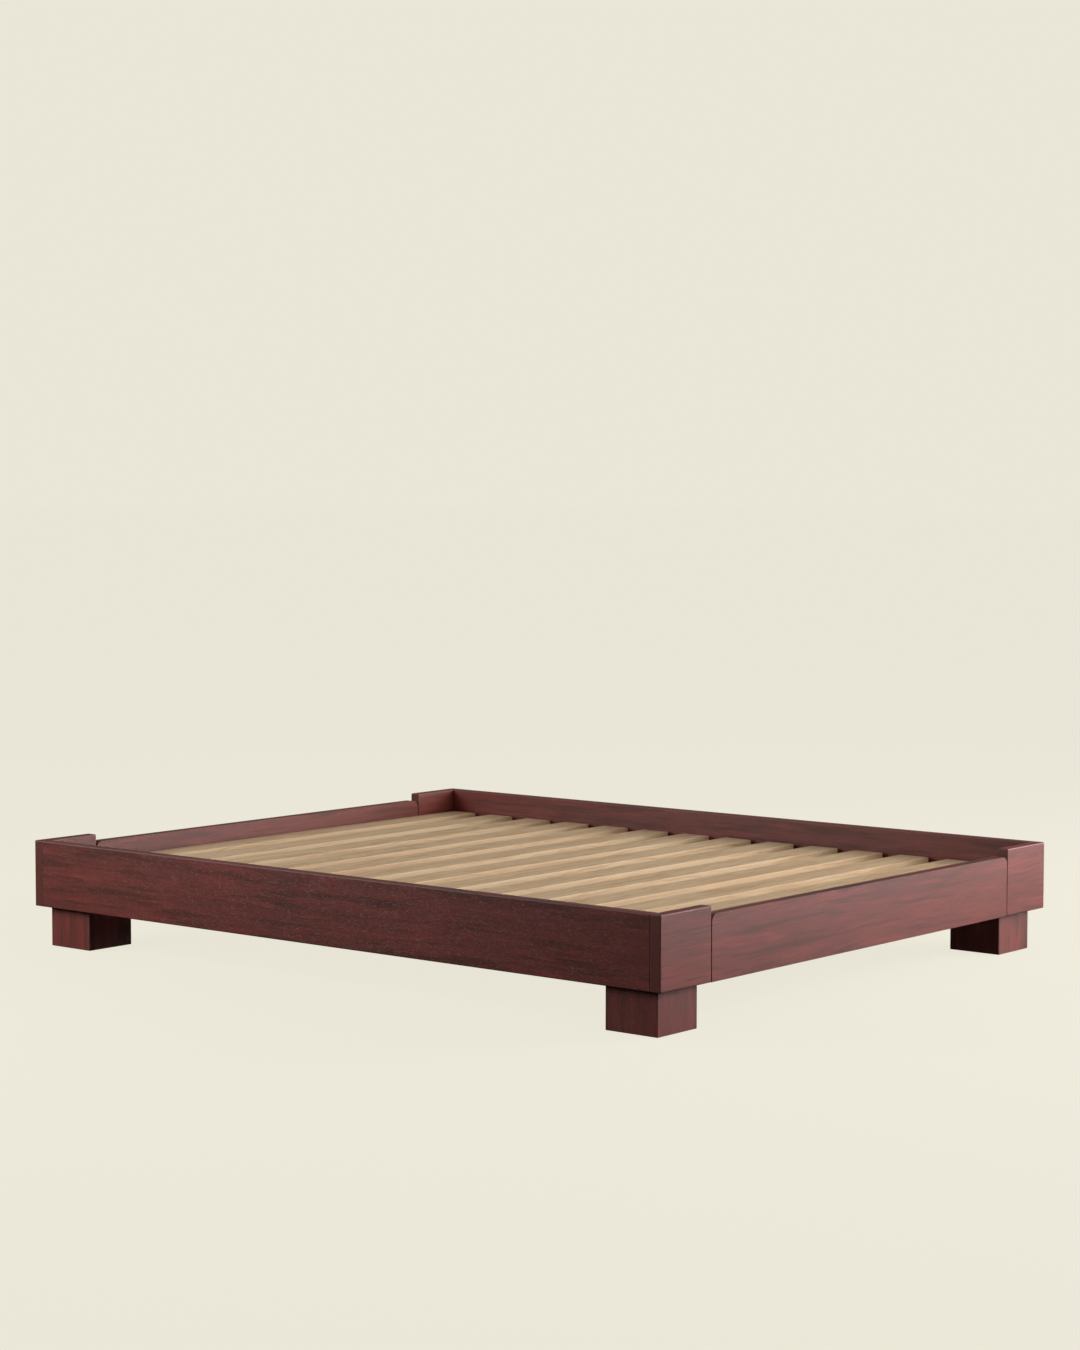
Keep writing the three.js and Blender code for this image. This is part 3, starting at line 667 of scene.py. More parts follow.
def end_board(end, cut):
    node = f"end_board_{end}"
    low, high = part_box(node)
    low.x += JOINT_GAP
    high.x -= JOINT_GAP
    piece = add_block(f"{node}_finished", low, high)

    def upper_corner(middle, along):
        return 1.0 if runs(along, "y") and middle.z > high.z - NEAR else 0.0

    def outline(middle, along):
        if min(abs(middle.y - low.y), abs(middle.y - high.y)) > NEAR:
            return 0.0
        at_joint = min(abs(middle.x - low.x), abs(middle.x - high.x)) < NEAR
        return JOINT_ARRIS / ARRIS if at_joint else 1.0

    ease_edges(piece, END_BOARD_ROUND, upper_corner, segments=12)
    ease_edges(piece, ARRIS, outline)
    for side in SIDES:
        drill_for_dowel(piece, end, side)
    mark_wood(piece, low, high, cut)
    return stand_in(piece, node, "frame", STAINED["x"])


for end in ENDS:
    end_board(end, END_PLANK_CUTS[end])

# %% [markdown]
# ## Posts
#
# A post is a block glued up from a few thick staves, with its grain upright. Two timber screws cross in it
# at different heights. Each sits at the bottom of a wide counterbore, which a forstner bit drills from an
# inner face, and runs on through a narrower hole. The mouth of a drilled hole is always broken a little,
# so a short cone is cut there as well.

# %% Posts and felt pads
POST_ARRIS = 2.5 * MM
POST_END_SHARE = 0.7
COUNTERBORE_RADIUS = 12.5 * MM
COUNTERBORE_DEPTH = 50 * MM
CLEARANCE_HOLE = 4.3 * MM
BROKEN_EDGE = 0.8 * MM


def counterbore(piece, mouth, inward, through):
    """Drills a wide hole with a broken edge from its mouth, and a narrow one all the way through."""
    floor = mouth + inward * COUNTERBORE_DEPTH
    bore(piece, mouth - inward * MM, floor, COUNTERBORE_RADIUS, sides=48)
    bore(piece, floor - inward * MM, mouth + inward * (through + MM), CLEARANCE_HOLE)
    wide = COUNTERBORE_RADIUS + 2 * BROKEN_EDGE
    bore(piece, mouth - inward * BROKEN_EDGE, mouth + inward * BROKEN_EDGE, wide, sides=48,
         end_radius=COUNTERBORE_RADIUS)


def corner_post(end, side, cut):
    node = f"corner_post_{end}_{side}"
    low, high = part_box(node)
    piece = add_block(f"{node}_finished", low, high)
    ease_timber(piece, POST_ARRIS, "z", POST_END_SHARE)
    across = Vector((SIDES[side], 0, 0))
    lengthways = Vector((0, ENDS[end], 0))
    rail_screw = middle_of(f"rail_screw_{end}_{side}")
    board_screw = middle_of(f"board_screw_{end}_{side}")
    inner_x = high.x if SIDES[side] < 0 else low.x
    inner_y = high.y if ENDS[end] < 0 else low.y
    counterbore(piece, Vector((inner_x, rail_screw.y, rail_screw.z)), across, high.x - low.x)
    counterbore(piece, Vector((board_screw.x, inner_y, board_screw.z)), lengthways, high.y - low.y)
    mark_wood(piece, low, high, cut)
    return stand_in(piece, node, "frame", STAINED["z"])


FELT_CORNER = 5 * MM
FELT_EDGE = 0.9 * MM


def felt_pad(end, side):
    node = f"felt_pad_{end}_{side}"
    low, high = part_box(node)
    piece = add_block(f"{node}_finished", low, high)
    ease_edges(piece, FELT_CORNER, lambda middle, along: 1.0 if runs(along, "z") else 0.0, segments=6)
    ease_edges(piece, FELT_EDGE, lambda middle, along: 0.0 if runs(along, "z") else 1.0, segments=3)
    return stand_in(piece, node, "frame", FELT)


posts = []
for i, end in enumerate(ENDS):
    for j, side in enumerate(SIDES):
        posts.append(corner_post(end, side, FIRST_CUTS["post"] + 2 * i + j))
        felt_pad(end, side)
print("posts:", [len(p.data.polygons) for p in posts], "faces")

# %% [markdown]
# ## Turned pieces and threads
#
# Screws, bolts and the glide are turned: a disc is pulled up ring by ring, and each ring scaled to its
# radius, which is an extrude and a resize for each step of the profile. A thread is one small triangle
# carried up a helix by the Screw modifier, closed at its ends, faded out there, and joined to its core.


# %% Helpers for turned pieces
def turned(name, profile, sides=32):
    """A piece about the Z axis from its profile, a list of radius and height from one end to the other."""
    (radius, height), *rest = profile
    deselect_all()
    bpy.ops.mesh.primitive_circle_add(
        vertices=sides, radius=radius, fill_type="NGON", location=(0, 0, height)
    )
    piece = bpy.context.object
    piece.name = name
    apply_place(piece)
    bpy.ops.object.mode_set(mode="EDIT")
    for next_radius, next_height in rest:
        step = (0, 0, next_height - height)
        bpy.ops.mesh.extrude_region_move(TRANSFORM_OT_translate={"value": step})
        share = next_radius / radius
        bpy.ops.transform.resize(value=(share, share, 1), center_override=(0, 0, next_height))
        radius, height = next_radius, next_height
    bpy.ops.mesh.select_all(action="SELECT")
    bpy.ops.mesh.normals_make_consistent(inside=False)
    bpy.ops.object.mode_set(mode="OBJECT")
    return piece


THREAD_SUNK = 0.2 * MM  # how deep a thread's foot lies in its core
THREAD_FOOT = 0.42  # half its width there, as a share of the pitch
THREAD_RUNOUT = 0.1  # the height left at its very ends
TRIANGLE_TALL = 1.5  # of a triangle whose corners lie 1 from its middle
TRIANGLE_HALF_SIDE = 0.866


def add_thread(piece, crest, core, pitch, low, high, steps=20):
    """Winds a thread round a core that stands along Z, from one height to another."""
    tall = (crest - core + THREAD_SUNK) / TRIANGLE_TALL
    wide = pitch * THREAD_FOOT / TRIANGLE_HALF_SIDE
    deselect_all()
    bpy.ops.mesh.primitive_circle_add(
        vertices=3,
        radius=1,
        fill_type="NOTHING",
        location=(crest - tall, 0, low + pitch * THREAD_FOOT),
        rotation=(math.pi / 2, math.pi / 2, 0),
    )
    ridge = bpy.context.object
    ridge.scale = (wide, tall, 1)
    apply_place(ridge)
    bpy.ops.object.modifier_add(type="SCREW")
    helix = ridge.modifiers[-1]
    helix.screw_offset = pitch
    helix.iterations = int((high - low) / pitch) - 1
    helix.steps = helix.render_steps = steps
    bpy.ops.object.modifier_apply(modifier=helix.name)
    bpy.ops.object.mode_set(mode="EDIT")
    bpy.ops.mesh.select_all(action="SELECT")
    bpy.ops.mesh.fill_holes(sides=3)
    bpy.ops.mesh.select_all(action="SELECT")
    bpy.ops.mesh.normals_make_consistent(inside=False)
    bpy.ops.object.mode_set(mode="OBJECT")
    heights = [vertex.co.z for vertex in ridge.data.vertices]
    bottom, top = min(heights), max(heights)
    for vertex in ridge.data.vertices:
        from_end = min(vertex.co.z - bottom, top - vertex.co.z) / pitch
        fade = min(1.0, from_end + THREAD_RUNOUT)
        flat = vertex.co.xy.length
        inside = core - THREAD_SUNK
        vertex.co.xy *= (inside + (flat - inside) * fade) / flat
    combine(piece, ridge, "UNION")
    return piece


def smooth_round(piece, angle=35):
    """Smooth shading, except across edges sharper than the angle."""
    only(piece)
    bpy.ops.object.shade_smooth_by_angle(angle=math.radians(angle))
    return piece

# %% [markdown]
# ## Timber screws
#
# A wide-headed timber screw has a flat bearing face under its head, a hexagon socket, a plain shank where
# it passes through the post, and a coarse thread where it bites into the board. It is made once along Z and
# then copied eight times, turned to run along X into the rails and along Y into the corner boards.

# %% Timber screws
screw_low, screw_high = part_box("rail_screw_foot_left")
SCREW_LENGTH = screw_high.x - screw_low.x
SCREW_HEAD = (screw_high.z - screw_low.z) / 2
SCREW_HEAD_HEIGHT = 4.5 * MM
SCREW_CORE = 2.9 * MM
SCREW_CREST = 4.0 * MM
SOCKET_RADIUS = 3.4 * MM
SOCKET_DEPTH = 2.8 * MM

timber_screw = turned(
    "timber_screw",
    [
        (SCREW_HEAD * 0.55, 0),
        (SCREW_HEAD * 0.62, 0.15 * MM),
        (SCREW_HEAD * 0.93, 2.6 * MM),
        (SCREW_HEAD, 3.2 * MM),
        (SCREW_HEAD, SCREW_HEAD_HEIGHT - 0.2 * MM),
        (SCREW_HEAD - 0.2 * MM, SCREW_HEAD_HEIGHT),
        (SCREW_CORE + 0.9 * MM, SCREW_HEAD_HEIGHT),
        (SCREW_CORE, SCREW_HEAD_HEIGHT + 0.9 * MM),
        (SCREW_CORE, SCREW_LENGTH - 8 * MM),
        (0.3 * MM, SCREW_LENGTH),
    ],
)
add_thread(timber_screw, SCREW_CREST, SCREW_CORE, 4 * MM, SCREW_LENGTH - 62 * MM, SCREW_LENGTH - 7 * MM)
bore(timber_screw, Vector((0, 0, -MM)), Vector((0, 0, SOCKET_DEPTH)), SOCKET_RADIUS, sides=6)
smooth_round(timber_screw)


def stand_along(axis, sign):
    """The turn that lays a piece modelled along +Z along an axis, or against it."""
    if axis == "x":
        return (0, sign * math.pi / 2, 0)
    return (-sign * math.pi / 2, 0, 0)


for end, end_sign in ENDS.items():
    for side, side_sign in SIDES.items():
        for kind, axis, sign in (("rail", "x", side_sign), ("board", "y", end_sign)):
            node = f"{kind}_screw_{end}_{side}"
            low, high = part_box(node)
            head = (low + high) / 2
            i = "xy".index(axis)
            head[i] = low[i] if sign > 0 else high[i]
            piece = copy_to(timber_screw, f"{node}_finished", stand_along(axis, sign), head)
            stand_in(piece, node, "frame", STEEL)
print("timber screw:", round(SCREW_LENGTH * 1000, 1), "mm,", len(timber_screw.data.polygons), "faces")
bpy.data.objects.remove(timber_screw)

# %% [markdown]
# ## Dowels
#
# A fluted beech dowel: every second pair of its sides is pressed in a little, so that glue can escape, and
# both ends are chamfered.

# %% Dowels
dowel_low, dowel_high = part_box("dowel_foot_left")
DOWEL_LENGTH = dowel_high.x - dowel_low.x
DOWEL_RADIUS = (dowel_high.z - dowel_low.z) / 2
FLUTE = 0.35 * MM
DOWEL_SIDES = 36
dowel = turned(
    "dowel",
    [
        (DOWEL_RADIUS - 1.1 * MM, 0),
        (DOWEL_RADIUS, 1.4 * MM),
        (DOWEL_RADIUS, DOWEL_LENGTH - 1.4 * MM),
        (DOWEL_RADIUS - 1.1 * MM, DOWEL_LENGTH),
    ],
    sides=DOWEL_SIDES,
)
for vertex in dowel.data.vertices:
    turn = math.atan2(vertex.co.y, vertex.co.x) / (2 * math.pi) * DOWEL_SIDES
    if round(turn) % 3 == 0 and vertex.co.xy.length > DOWEL_RADIUS - NEAR:
        vertex.co.xy *= (DOWEL_RADIUS - FLUTE) / DOWEL_RADIUS
for end in ENDS:
    for side in SIDES:
        node = f"dowel_{end}_{side}"
        low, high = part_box(node)
        start_point = Vector((low.x, (low.y + high.y) / 2, (low.z + high.z) / 2))
        piece = copy_to(dowel, f"{node}_finished", stand_along("x", 1), start_point)
        stand_in(piece, node, "frame", BEECH)
print("dowel:", round(DOWEL_LENGTH * 1000, 1), "mm long")
bpy.data.objects.remove(dowel)

# %% [markdown]
# ## Small wood screws
#
# Two kinds fix the fittings: countersunk screws through the ledgers, whose heads sit just below the wood's
# face, and pan-head screws through the steel plates. Both have a cross recess, cut with two crossed blades
# that taper to the bottom. Each is made once, along +Z from the outer face of its head, and its copies are
# turned to where they go.

# %% Small wood screws
WOOD_SCREW_CREST = 2.3 * MM
WOOD_SCREW_CORE = 1.6 * MM
RECESS_SLOT = 1.0 * MM
RECESS_TAPER = 0.35


def cross_recess(piece, span, depth):
    """Cuts two crossed slots that narrow to the bottom, into the face at height 0."""
    for turn in (0, math.pi / 2):
        deselect_all()
        bpy.ops.mesh.primitive_cube_add(size=1, location=(0, 0, 0), scale=(span, RECESS_SLOT, 2 * depth))
        blade = bpy.context.object
        blade.rotation_euler = (0, 0, turn)
        apply_place(blade)
        for vertex in blade.data.vertices:
            if vertex.co.z > 0:
                vertex.co.xy *= RECESS_TAPER
        combine(piece, blade, "DIFFERENCE")


def wood_screw(name, head, length):
    """A small screw along +Z from the outer face of its head, at height 0."""
    neck = head[-1][1]
    shank = [
        (WOOD_SCREW_CORE, neck + 0.6 * MM),
        (WOOD_SCREW_CORE, length - 4 * MM),
        (0.2 * MM, length),
    ]
    piece = turned(name, head + shank, sides=24)
    add_thread(piece, WOOD_SCREW_CREST, WOOD_SCREW_CORE, 2.2 * MM, neck + 4 * MM, length - 3 * MM, steps=12)
    cross_recess(piece, 4.4 * MM, 1.7 * MM)
    return smooth_round(piece)


COUNTERSUNK_HEAD = [(4.3 * MM, 0), (4.4 * MM, 0.4 * MM), (2.0 * MM, 3.2 * MM)]
PAN_HEAD = [
    (1.6 * MM, 0),
    (3.1 * MM, 0.25 * MM),
    (4.1 * MM, 1.0 * MM),
    (4.4 * MM, 1.9 * MM),
    (4.3 * MM, 2.3 * MM),
    (2.3 * MM, 2.3 * MM),
]
PAN_HEIGHT = 2.3 * MM
countersunk = wood_screw("countersunk", COUNTERSUNK_HEAD, 50 * MM)
pan_head = wood_screw("pan_head", PAN_HEAD, 24 * MM)
print("small screws:", len(countersunk.data.polygons), "and", len(pan_head.data.polygons), "faces")

# %% [markdown]
# ## Ledgers
#
# The ledgers are battens screwed to the inside of the boards. Their screws stand in one row, a hand from
# the ends and about a foot apart, in countersinks that leave the heads just below the surface.

# %% Ledgers
TIMBER_ARRIS = 2 * MM
TIMBER_END_SHARE = 0.3
COUNTERSINK_DEPTH = 3.6 * MM
COUNTERSINK_RADIUS = 5.0 * MM
LEDGER_HOLE = 2.4 * MM
HEAD_SINK = 0.5 * MM
SCREW_SPACING = 0.30
SCREW_END_ROOM = 0.09


def screw_row(low, high, i):
    """Even places along axis i, from one end room to the other."""
    first, last = low[i] + SCREW_END_ROOM, high[i] - SCREW_END_ROOM
    count = round((last - first) / SCREW_SPACING)
    return [first + (last - first) * k / count for k in range(count + 1)]


def ledger(node, axis, outward, cut):
    """A batten along an axis, screwed to the board that lies outward of it."""
    low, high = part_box(node)
    i = GRAIN_AXES[axis]
    piece = add_block(f"{node}_finished", low, high)
    ease_timber(piece, TIMBER_ARRIS, axis, TIMBER_END_SHARE)
    face = (low + high) / 2
    across = 1 - i
    face[across] = low[across] if outward[across] > 0 else high[across]
    screws = []
    for place in screw_row(low, high, i):
        mouth = face.copy()
        mouth[i] = place
        sunk = mouth + outward * COUNTERSINK_DEPTH
        bore(piece, mouth - outward * NEAR, sunk, COUNTERSINK_RADIUS, end_radius=2.0 * MM)
        bore(piece, mouth, mouth + outward * (high[across] - low[across] + MM), LEDGER_HOLE, sides=16)
        turn = stand_along("xy"[across], outward[across])
        screws.append(copy_to(countersunk, f"{node}_screw", turn, mouth + outward * HEAD_SINK))
    mark_wood(piece, low, high, cut)
    stand_in(piece, node, "frame", PALE[axis])
    return give_finish(joined(screws, f"{node}_screws"), "frame", STEEL)


for k, (side, side_sign) in enumerate(SIDES.items()):
    ledger(f"side_ledger_{side}", "y", Vector((side_sign, 0, 0)), FIRST_CUTS["side_ledger"] + k)
for k, (end, end_sign) in enumerate(ENDS.items()):
    ledger(f"end_ledger_{end}", "x", Vector((0, end_sign, 0)), FIRST_CUTS["end_ledger"] + k)

# %% [markdown]
# ## Steel angles
#
# An angle is a strip of galvanised steel, bent once. It is pulled out of a small square: one side face is
# extruded into each leg. The bend then gets its two radii by edge weights, a wide one outside and a narrow
# one inside, and the free corners are rounded as a stamping tool leaves them.

# %% Steel angles
ANGLE_THICKNESS = 2.5 * MM
ANGLE_BEND = 4 * MM
INNER_BEND_SHARE = 0.4
PLATE_HOLE = 2.5 * MM
PLATE_CORNER = 4 * MM
angle_low, angle_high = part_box("steel_angle_foot_left")
ANGLE_LEG = angle_high.x - angle_low.x
ANGLE_HEIGHT = angle_high.z - angle_low.z
HOLE_PLACES = ((ANGLE_LEG * 0.45, -8 * MM), (ANGLE_LEG - 9 * MM, 8 * MM))


def pull_face(piece, direction, distance, chosen=lambda middle: True):
    """Extrudes the faces that look in a direction, and whose middle is chosen, straight out."""
    only(piece)
    bpy.ops.object.mode_set(mode="EDIT")
    bpy.ops.mesh.select_mode(type="FACE")
    bpy.ops.mesh.select_all(action="DESELECT")
    shell = bmesh.from_edit_mesh(piece.data)
    for face in shell.faces:
        face.select = face.normal.dot(direction) > 0.99 and chosen(face.calc_center_median())
    bmesh.update_edit_mesh(piece.data)
    bpy.ops.mesh.extrude_region_move(TRANSFORM_OT_translate={"value": direction * distance})
    bpy.ops.object.mode_set(mode="OBJECT")


def steel_angle():
    """An angle in plan, its corner at the origin, one leg along +X and the other along +Y."""
    low = Vector((0, 0, -ANGLE_HEIGHT / 2))
    high = Vector((ANGLE_THICKNESS, ANGLE_THICKNESS, ANGLE_HEIGHT / 2))
    piece = add_block("steel_angle", low, high)
    reach = ANGLE_LEG - ANGLE_THICKNESS
    pull_face(piece, Vector((1, 0, 0)), reach)
    pull_face(piece, Vector((0, 1, 0)), reach, lambda middle: middle.x < ANGLE_THICKNESS)

    def bend(middle, along):
        if not runs(along, "z"):
            return 0.0
        if middle.xy.length < NEAR:
            return 1.0
        inner = Vector((ANGLE_THICKNESS, ANGLE_THICKNESS))
        return INNER_BEND_SHARE if (middle.xy - inner).length < NEAR else 0.0

    def free_corner(middle, along):
        at_tip = max(middle.x, middle.y) > ANGLE_LEG - NEAR
        at_corner = abs(middle.z) > ANGLE_HEIGHT / 2 - NEAR
        return 1.0 if at_tip and at_corner and not runs(along, "z") else 0.0

    ease_edges(piece, ANGLE_BEND, bend, segments=6)
    ease_edges(piece, PLATE_CORNER, free_corner, segments=5)
    for reach, height in HOLE_PLACES:
        bore(piece, Vector((reach, -MM, height)), Vector((reach, 4 * MM, height)), PLATE_HOLE, sides=24)
        bore(piece, Vector((-MM, reach, height)), Vector((4 * MM, reach, height)), PLATE_HOLE, sides=24)
    return smooth_round(piece)


angle_piece = steel_angle()
angle_screws = []
for reach, height in HOLE_PLACES:
    head = ANGLE_THICKNESS + PAN_HEIGHT
    on_x_leg = copy_to(pan_head, "angle_screw", stand_along("y", -1), (reach, head, height))
    on_y_leg = copy_to(pan_head, "angle_screw", stand_along("x", -1), (head, reach, height))
    angle_screws += [on_x_leg, on_y_leg]
angle_screw_set = joined(angle_screws, "angle_screw_set")
QUARTER_TURNS = {(-1, -1): 0, (1, -1): 1, (1, 1): 2, (-1, 1): 3}
for end, end_sign in ENDS.items():
    for side, side_sign in SIDES.items():
        node = f"steel_angle_{end}_{side}"
        low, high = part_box(node)
        corner = Vector((low.x if side_sign < 0 else high.x, low.y if end_sign < 0 else high.y, 0))
        corner.z = (low.z + high.z) / 2
        turn = (0, 0, QUARTER_TURNS[side_sign, end_sign] * math.pi / 2)
        piece = copy_to(angle_piece, f"{node}_finished", turn, corner)
        stand_in(piece, node, "frame", STEEL)
        extra = copy_to(angle_screw_set, f"{node}_screws", turn, corner)
        give_finish(extra, "frame", STEEL)
bpy.data.objects.remove(angle_piece)
bpy.data.objects.remove(angle_screw_set)
print("steel angles:", round(ANGLE_LEG * 1000), "mm legs")

# %% [markdown]
# ## Centre beam and its shoes
#
# The beam is a planed batten on edge with a bolt hole at its middle. Each end drops into a steel shoe: a
# floor, two cheeks and two flanges, folded from one sheet. The folds get a radius, and four pan-head screws
# hold the flanges to the end ledger.

# %% Centre beam
bolt_middle = middle_of("leg_bolt")
beam_low, beam_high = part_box("centre_beam")
beam = add_block("centre_beam_finished", beam_low, beam_high)
ease_timber(beam, TIMBER_ARRIS, "y", TIMBER_END_SHARE)
hole_start = Vector((beam_low.x - MM, 0, bolt_middle.z))
hole_end = Vector((beam_high.x + MM, 0, bolt_middle.z))
bore(beam, hole_start, hole_end, CLEARANCE_HOLE)
mark_wood(beam, beam_low, beam_high, FIRST_CUTS["beam"])
stand_in(beam, "centre_beam", "frame", PALE["y"])

# %% Beam shoes
SHOE_THICKNESS = 2 * MM
SHOE_FLANGE = 28 * MM
SHOE_FOLD = 2.6 * MM
shoe_low, shoe_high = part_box("beam_shoe_head")
SHOE_DEPTH = shoe_high.y - shoe_low.y
SHOE_HEIGHT = shoe_high.z - shoe_low.z - SHOE_THICKNESS
SHOE_OUTER = (shoe_high.x - shoe_low.x) / 2 - SHOE_FLANGE
SHOE_INNER = SHOE_OUTER - SHOE_THICKNESS


def beam_shoe():
    """The shoe with its back at y = 0 and its floor's upper face at z = 0."""
    floor_low = Vector((-SHOE_OUTER, -SHOE_DEPTH, -SHOE_THICKNESS))
    piece = add_block("beam_shoe", floor_low, Vector((SHOE_OUTER, 0, 0)))
    for sign in SIDES.values():
        inner, outer = sorted((sign * SHOE_INNER, sign * SHOE_OUTER))
        cheek = add_block(
            "cheek", Vector((inner, -SHOE_DEPTH, -SHOE_THICKNESS)), Vector((outer, 0, SHOE_HEIGHT))
        )
        combine(piece, cheek, "UNION")
        inner, outer = sorted((sign * SHOE_INNER, sign * (SHOE_OUTER + SHOE_FLANGE)))
        flange = add_block("flange", Vector((inner, -SHOE_THICKNESS, 0)), Vector((outer, 0, SHOE_HEIGHT)))
        combine(piece, flange, "UNION")

    def fold(middle, along):
        outer_x = abs(abs(middle.x) - SHOE_OUTER) < NEAR
        inner_x = abs(abs(middle.x) - SHOE_INNER) < NEAR
        if runs(along, "y") and outer_x and middle.z < -SHOE_THICKNESS + NEAR:
            return 1.0
        if runs(along, "y") and inner_x and abs(middle.z) < NEAR:
            return 0.25
        if runs(along, "z") and outer_x and abs(middle.y + SHOE_THICKNESS) < NEAR:
            return 0.3
        return 0.0

    def free_corner(middle, along):
        if runs(along, "x") and middle.y < -SHOE_DEPTH + NEAR:
            return 1.0 if middle.z > SHOE_HEIGHT - NEAR else 0.0
        tip = abs(middle.x) > SHOE_OUTER + SHOE_FLANGE - NEAR
        return 1.0 if runs(along, "y") and tip else 0.0

    ease_edges(piece, SHOE_FOLD, fold, segments=5)
    ease_edges(piece, PLATE_CORNER, free_corner, segments=5)
    for x, height in SHOE_HOLES:
        bore(piece, Vector((x, MM, height)), Vector((x, -4 * MM, height)), PLATE_HOLE, sides=24)
    return smooth_round(piece)


SHOE_HOLES = [
    (sign * (SHOE_OUTER + SHOE_FLANGE / 2), height)
    for sign in SIDES.values()
    for height in (10 * MM, SHOE_HEIGHT - 10 * MM)
]
shoe_piece = beam_shoe()
shoe_screws = [
    copy_to(pan_head, "shoe_screw", stand_along("y", 1), (x, -SHOE_THICKNESS - PAN_HEIGHT, height))
    for x, height in SHOE_HOLES
]
shoe_screw_set = joined(shoe_screws, "shoe_screw_set")
for end, end_sign in ENDS.items():
    node = f"beam_shoe_{end}"
    low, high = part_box(node)
    place = Vector((0, high.y if end_sign > 0 else low.y, low.z + SHOE_THICKNESS))
    turn = (0, 0, 0 if end_sign > 0 else math.pi)
    stand_in(copy_to(shoe_piece, f"{node}_finished", turn, place), node, "frame", STEEL)
    give_finish(copy_to(shoe_screw_set, f"{node}_screws", turn, place), "frame", STEEL)
for master in (shoe_piece, shoe_screw_set, countersunk, pan_head):
    bpy.data.objects.remove(master)
print("beam shoes:", round(SHOE_DEPTH * 1000), "mm deep")

# %% [markdown]
# ## Centre leg
#
# The leg's top is a fork that straddles the beam. A bolt goes through both, and a levelling glide screws
# into a threaded insert in its foot.

# %% Centre leg
LEG_ARRIS = 2 * MM
NOTCH_ROOM = 0.3 * MM
INSERT_HOLE = 7.2 * MM
INSERT_HOLE_DEPTH = 14.3 * MM
STEM_HOLE = 5.3 * MM
STEM_HOLE_DEPTH = 40 * MM
leg_low, leg_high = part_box("centre_leg")
leg = add_block("centre_leg_finished", leg_low, leg_high)
ease_timber(leg, LEG_ARRIS, "z", POST_END_SHARE)
half_notch = (beam_high.x - beam_low.x) / 2 + NOTCH_ROOM
notch = add_block(
    "notch",
    Vector((-half_notch, leg_low.y - MM, beam_low.z - NOTCH_ROOM)),
    Vector((half_notch, leg_high.y + MM, leg_high.z + MM)),
)
combine(leg, notch, "DIFFERENCE")
leg_hole = Vector((leg_high.x + MM, 0, 0))
axis_height = Vector((0, 0, bolt_middle.z))
bore(leg, axis_height - leg_hole, axis_height + leg_hole, CLEARANCE_HOLE)
foot_middle = Vector((0, 0, leg_low.z))
up = Vector((0, 0, 1))
bore(leg, foot_middle - up * MM, foot_middle + up * INSERT_HOLE_DEPTH, INSERT_HOLE)
bore(leg, foot_middle, foot_middle + up * STEM_HOLE_DEPTH, STEM_HOLE)
mark_wood(leg, leg_low, leg_high, FIRST_CUTS["leg"])
stand_in(leg, "centre_leg", "frame", PALE["z"])
print("centre leg:", round((leg_high.z - leg_low.z) * 1000), "mm long")

# %% Bolt and nut
BOLT_CREST = 4 * MM
BOLT_CORE = 3.4 * MM
BOLT_PITCH = 1.25 * MM
HEX_RADIUS = 7.5 * MM
HEX_CHAMFER = 0.86 * HEX_RADIUS
HEX_CHAMFER_HEIGHT = 0.9 * MM
BOLT_HEAD_HEIGHT = 5.3 * MM
bolt_low, bolt_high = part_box("leg_bolt")
nut_low, nut_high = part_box("leg_nut")
BOLT_LENGTH = bolt_high.x - bolt_low.x

bolt = turned(
    "bolt",
    [(HEX_CHAMFER, 0), (HEX_RADIUS, HEX_CHAMFER_HEIGHT), (HEX_RADIUS, BOLT_HEAD_HEIGHT)],
    sides=6,
)
shank = turned(
    "shank",
    [
        (BOLT_CREST, BOLT_HEAD_HEIGHT - MM),
        (BOLT_CREST, BOLT_LENGTH - 26 * MM),
        (BOLT_CORE, BOLT_LENGTH - 25.5 * MM),
        (BOLT_CORE, BOLT_LENGTH - 0.5 * MM),
        (BOLT_CORE - 0.5 * MM, BOLT_LENGTH),
    ],
)
add_thread(shank, BOLT_CREST, BOLT_CORE, BOLT_PITCH, BOLT_LENGTH - 25.5 * MM, BOLT_LENGTH - 0.4 * MM)
combine(bolt, shank, "UNION")
smooth_round(bolt, 28)
bolt_place = Vector((bolt_low.x, 0, bolt_middle.z))
piece = copy_to(bolt, "leg_bolt_finished", stand_along("x", 1), bolt_place)
stand_in(piece, "leg_bolt", "frame", STEEL)
bpy.data.objects.remove(bolt)

nut_height = nut_high.x - nut_low.x
nut = turned(
    "nut",
    [
        (HEX_CHAMFER, 0),
        (HEX_RADIUS, HEX_CHAMFER_HEIGHT),
        (HEX_RADIUS, nut_height - HEX_CHAMFER_HEIGHT),
        (HEX_CHAMFER, nut_height),
    ],
    sides=6,
)
bore(nut, Vector((0, 0, -MM)), Vector((0, 0, nut_height + MM)), BOLT_CREST + 0.15 * MM)
for start_height, end_height in ((-0.1 * MM, 0.7 * MM), (nut_height + 0.1 * MM, nut_height - 0.7 * MM)):
    mouth, inside = Vector((0, 0, start_height)), Vector((0, 0, end_height))
    bore(nut, mouth, inside, BOLT_CREST + 0.8 * MM, end_radius=BOLT_CREST)
smooth_round(nut, 28)
piece = copy_to(nut, "leg_nut_finished", stand_along("x", 1), Vector((nut_low.x, 0, bolt_middle.z)))
stand_in(piece, "leg_nut", "frame", STEEL)
bpy.data.objects.remove(nut)
print("leg bolt:", round(BOLT_LENGTH * 1000, 1), "mm long")

